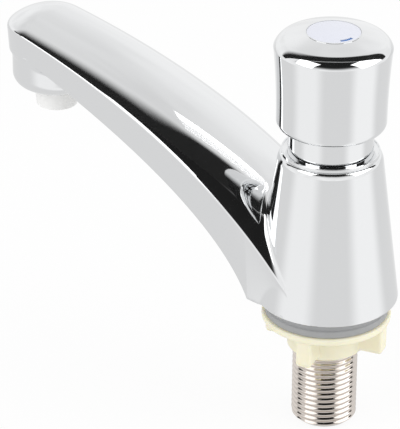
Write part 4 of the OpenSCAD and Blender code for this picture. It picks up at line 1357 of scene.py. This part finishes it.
def hang_cards(s):
    """Dark card across the top, which only the metal's reflections show. Its rear edge fades to the left."""
    axes = view_axes(s)
    material, tree, surface, place = start_material(
        "Black studio card", Base_Color=linear("#282828"), Roughness=0.9, Specular_IOR_Level=0.0
    )
    right, away, up = in_view(tree, place, s)
    aside = add_node(tree, MATH, {0: right}, operation="ABSOLUTE")
    aside = add_node(tree, MATH, {0: aside, 1: s.card_straight}, operation="SUBTRACT")
    aside = add_node(tree, MATH, {0: aside, 1: 0.0}, operation="MAXIMUM")
    back = add_node(tree, MATH, {0: aside, 1: s.back_flare, 2: s.card_back}, operation="MULTIPLY_ADD")
    fade = add_node(tree, RANGE, span(right, s.soft_left, s.soft_right, s.card_fade, s.card_sharp), **SMOOTH)
    edge = add_node(tree, MATH, {0: back, 1: away}, operation="SUBTRACT")
    edge = add_node(tree, MATH, {0: edge, 1: fade}, operation="DIVIDE")
    share = add_node(tree, RANGE, span(edge, -1.0, 1.0, 0.0, 1.0), **SMOOTH)
    clear = add_node(tree, "ShaderNodeBsdfTransparent")
    mix = add_node(tree, "ShaderNodeMixShader", {0: share, 1: clear, 2: surface})
    tree.links.new(mix.outputs[0], tree.nodes["Material Output"].inputs["Surface"])
    outward = s.card_half - s.card_straight
    front, rear = s.card_front, s.card_back + s.card_fade
    half_outline = [
        (s.card_straight, front), (s.card_half, front + s.front_flare * outward),
        (s.card_half, rear + s.back_flare * outward), (s.card_straight, rear),
    ]
    outline = half_outline + [(-right_at, away_at) for right_at, away_at in reversed(half_outline)]
    card = add_card("overhead_card", [axes @ Vector((*spot, s.card_h)) for spot in outline], material)
    for rays in ("camera", "diffuse", "shadow", "transmission", "volume_scatter"):
        setattr(card, "visible_" + rays, False)


def hang_lamps(s):
    """Soft lamps on both sides of the camera."""
    axes = view_axes(s)
    for name, bearing, rise, distance, wide, tall, bright in LAMPS:
        a, b = math.radians(bearing), math.radians(rise)
        toward = axes @ Vector((math.sin(a) * math.cos(b), -math.cos(a) * math.cos(b), math.sin(b)))
        turned_to = (-toward).to_track_quat("-Z", "Y").to_matrix()
        add_lamp(name, Vector(s.lamp_aim) + distance * toward, turned_to, wide, tall, bright)


def hang_strip(s):
    """Strip light over the spout's root, level and square to the view. Only the cast body mirrors it."""
    axes = view_axes(s)
    strip = add_lamp("strip_light", axes @ Vector(s.strip_at), axes, s.strip_w, s.strip_t, s.strip_level)
    lit = bpy.data.collections.new("strip_light_receivers")
    lit.objects.link(bpy.data.objects["cast_body"])
    strip.light_linking.receiver_collection = lit


def add_lamp(name, centre, turned_to, wide, tall, bright):
    """A rectangular lamp of that radiance, unseen by the camera. It shines along its own -Z."""
    data = bpy.data.lights.new(name, "AREA")
    data.shape = "RECTANGLE"
    data.size, data.size_y = wide, tall
    data.energy = bright * math.pi * wide * tall
    lamp = bpy.data.objects.new(name, data)
    lamp.matrix_world = Matrix.Translation(centre) @ turned_to.to_4x4()
    lamp.visible_camera = False
    bpy.context.scene.collection.objects.link(lamp)
    return lamp


# Lamps: name, bearing from the camera and height in degrees, distance, width and height in metres, radiance
LAMPS = (
    ("left_softbox", -60, 38, 1.2, 0.74, 0.78, 1.7),
    ("right_softbox", 76, 35, 1.2, 1.08, 0.9, 1.7),
)


# Panel and registration


OPERATORS = (
    TAP_OT_inner, TAP_OT_body, TAP_OT_neck, TAP_OT_button, TAP_OT_index, TAP_OT_gasket, TAP_OT_nut,
    TAP_OT_shank, TAP_OT_nozzle, TAP_OT_spring, TAP_OT_stage,
)


class TAP_PT_panel(bpy.types.Panel):
    """Sizes, colours and pieces of the tap"""

    bl_idname = "TAP_PT_panel"
    bl_label = "Push timed tap"
    bl_space_type = "VIEW_3D"
    bl_region_type = "UI"
    bl_category = "Tap"

    def draw(self, context):
        for operator in OPERATORS:
            self.layout.operator(operator.bl_idname)
        for name, group in GROUPS.items():
            box = self.layout.box()
            box.label(text=group.__doc__)
            for key in group.__annotations__:
                box.prop(getattr(context.scene, name), key)


CLASSES = (*GROUPS.values(), *OPERATORS, TAP_PT_panel)


def register():
    for cls in CLASSES:
        bpy.utils.register_class(cls)
    for name, group in GROUPS.items():
        setattr(bpy.types.Scene, name, PointerProperty(type=group))


def unregister():
    for name in GROUPS:
        delattr(bpy.types.Scene, name)
    for cls in reversed(CLASSES):
        bpy.utils.unregister_class(cls)


def main():
    register()
    for operator in OPERATORS:
        group, name = operator.bl_idname.split(".")
        getattr(getattr(bpy.ops, group), name)()


if __name__ == "__main__":
    main()
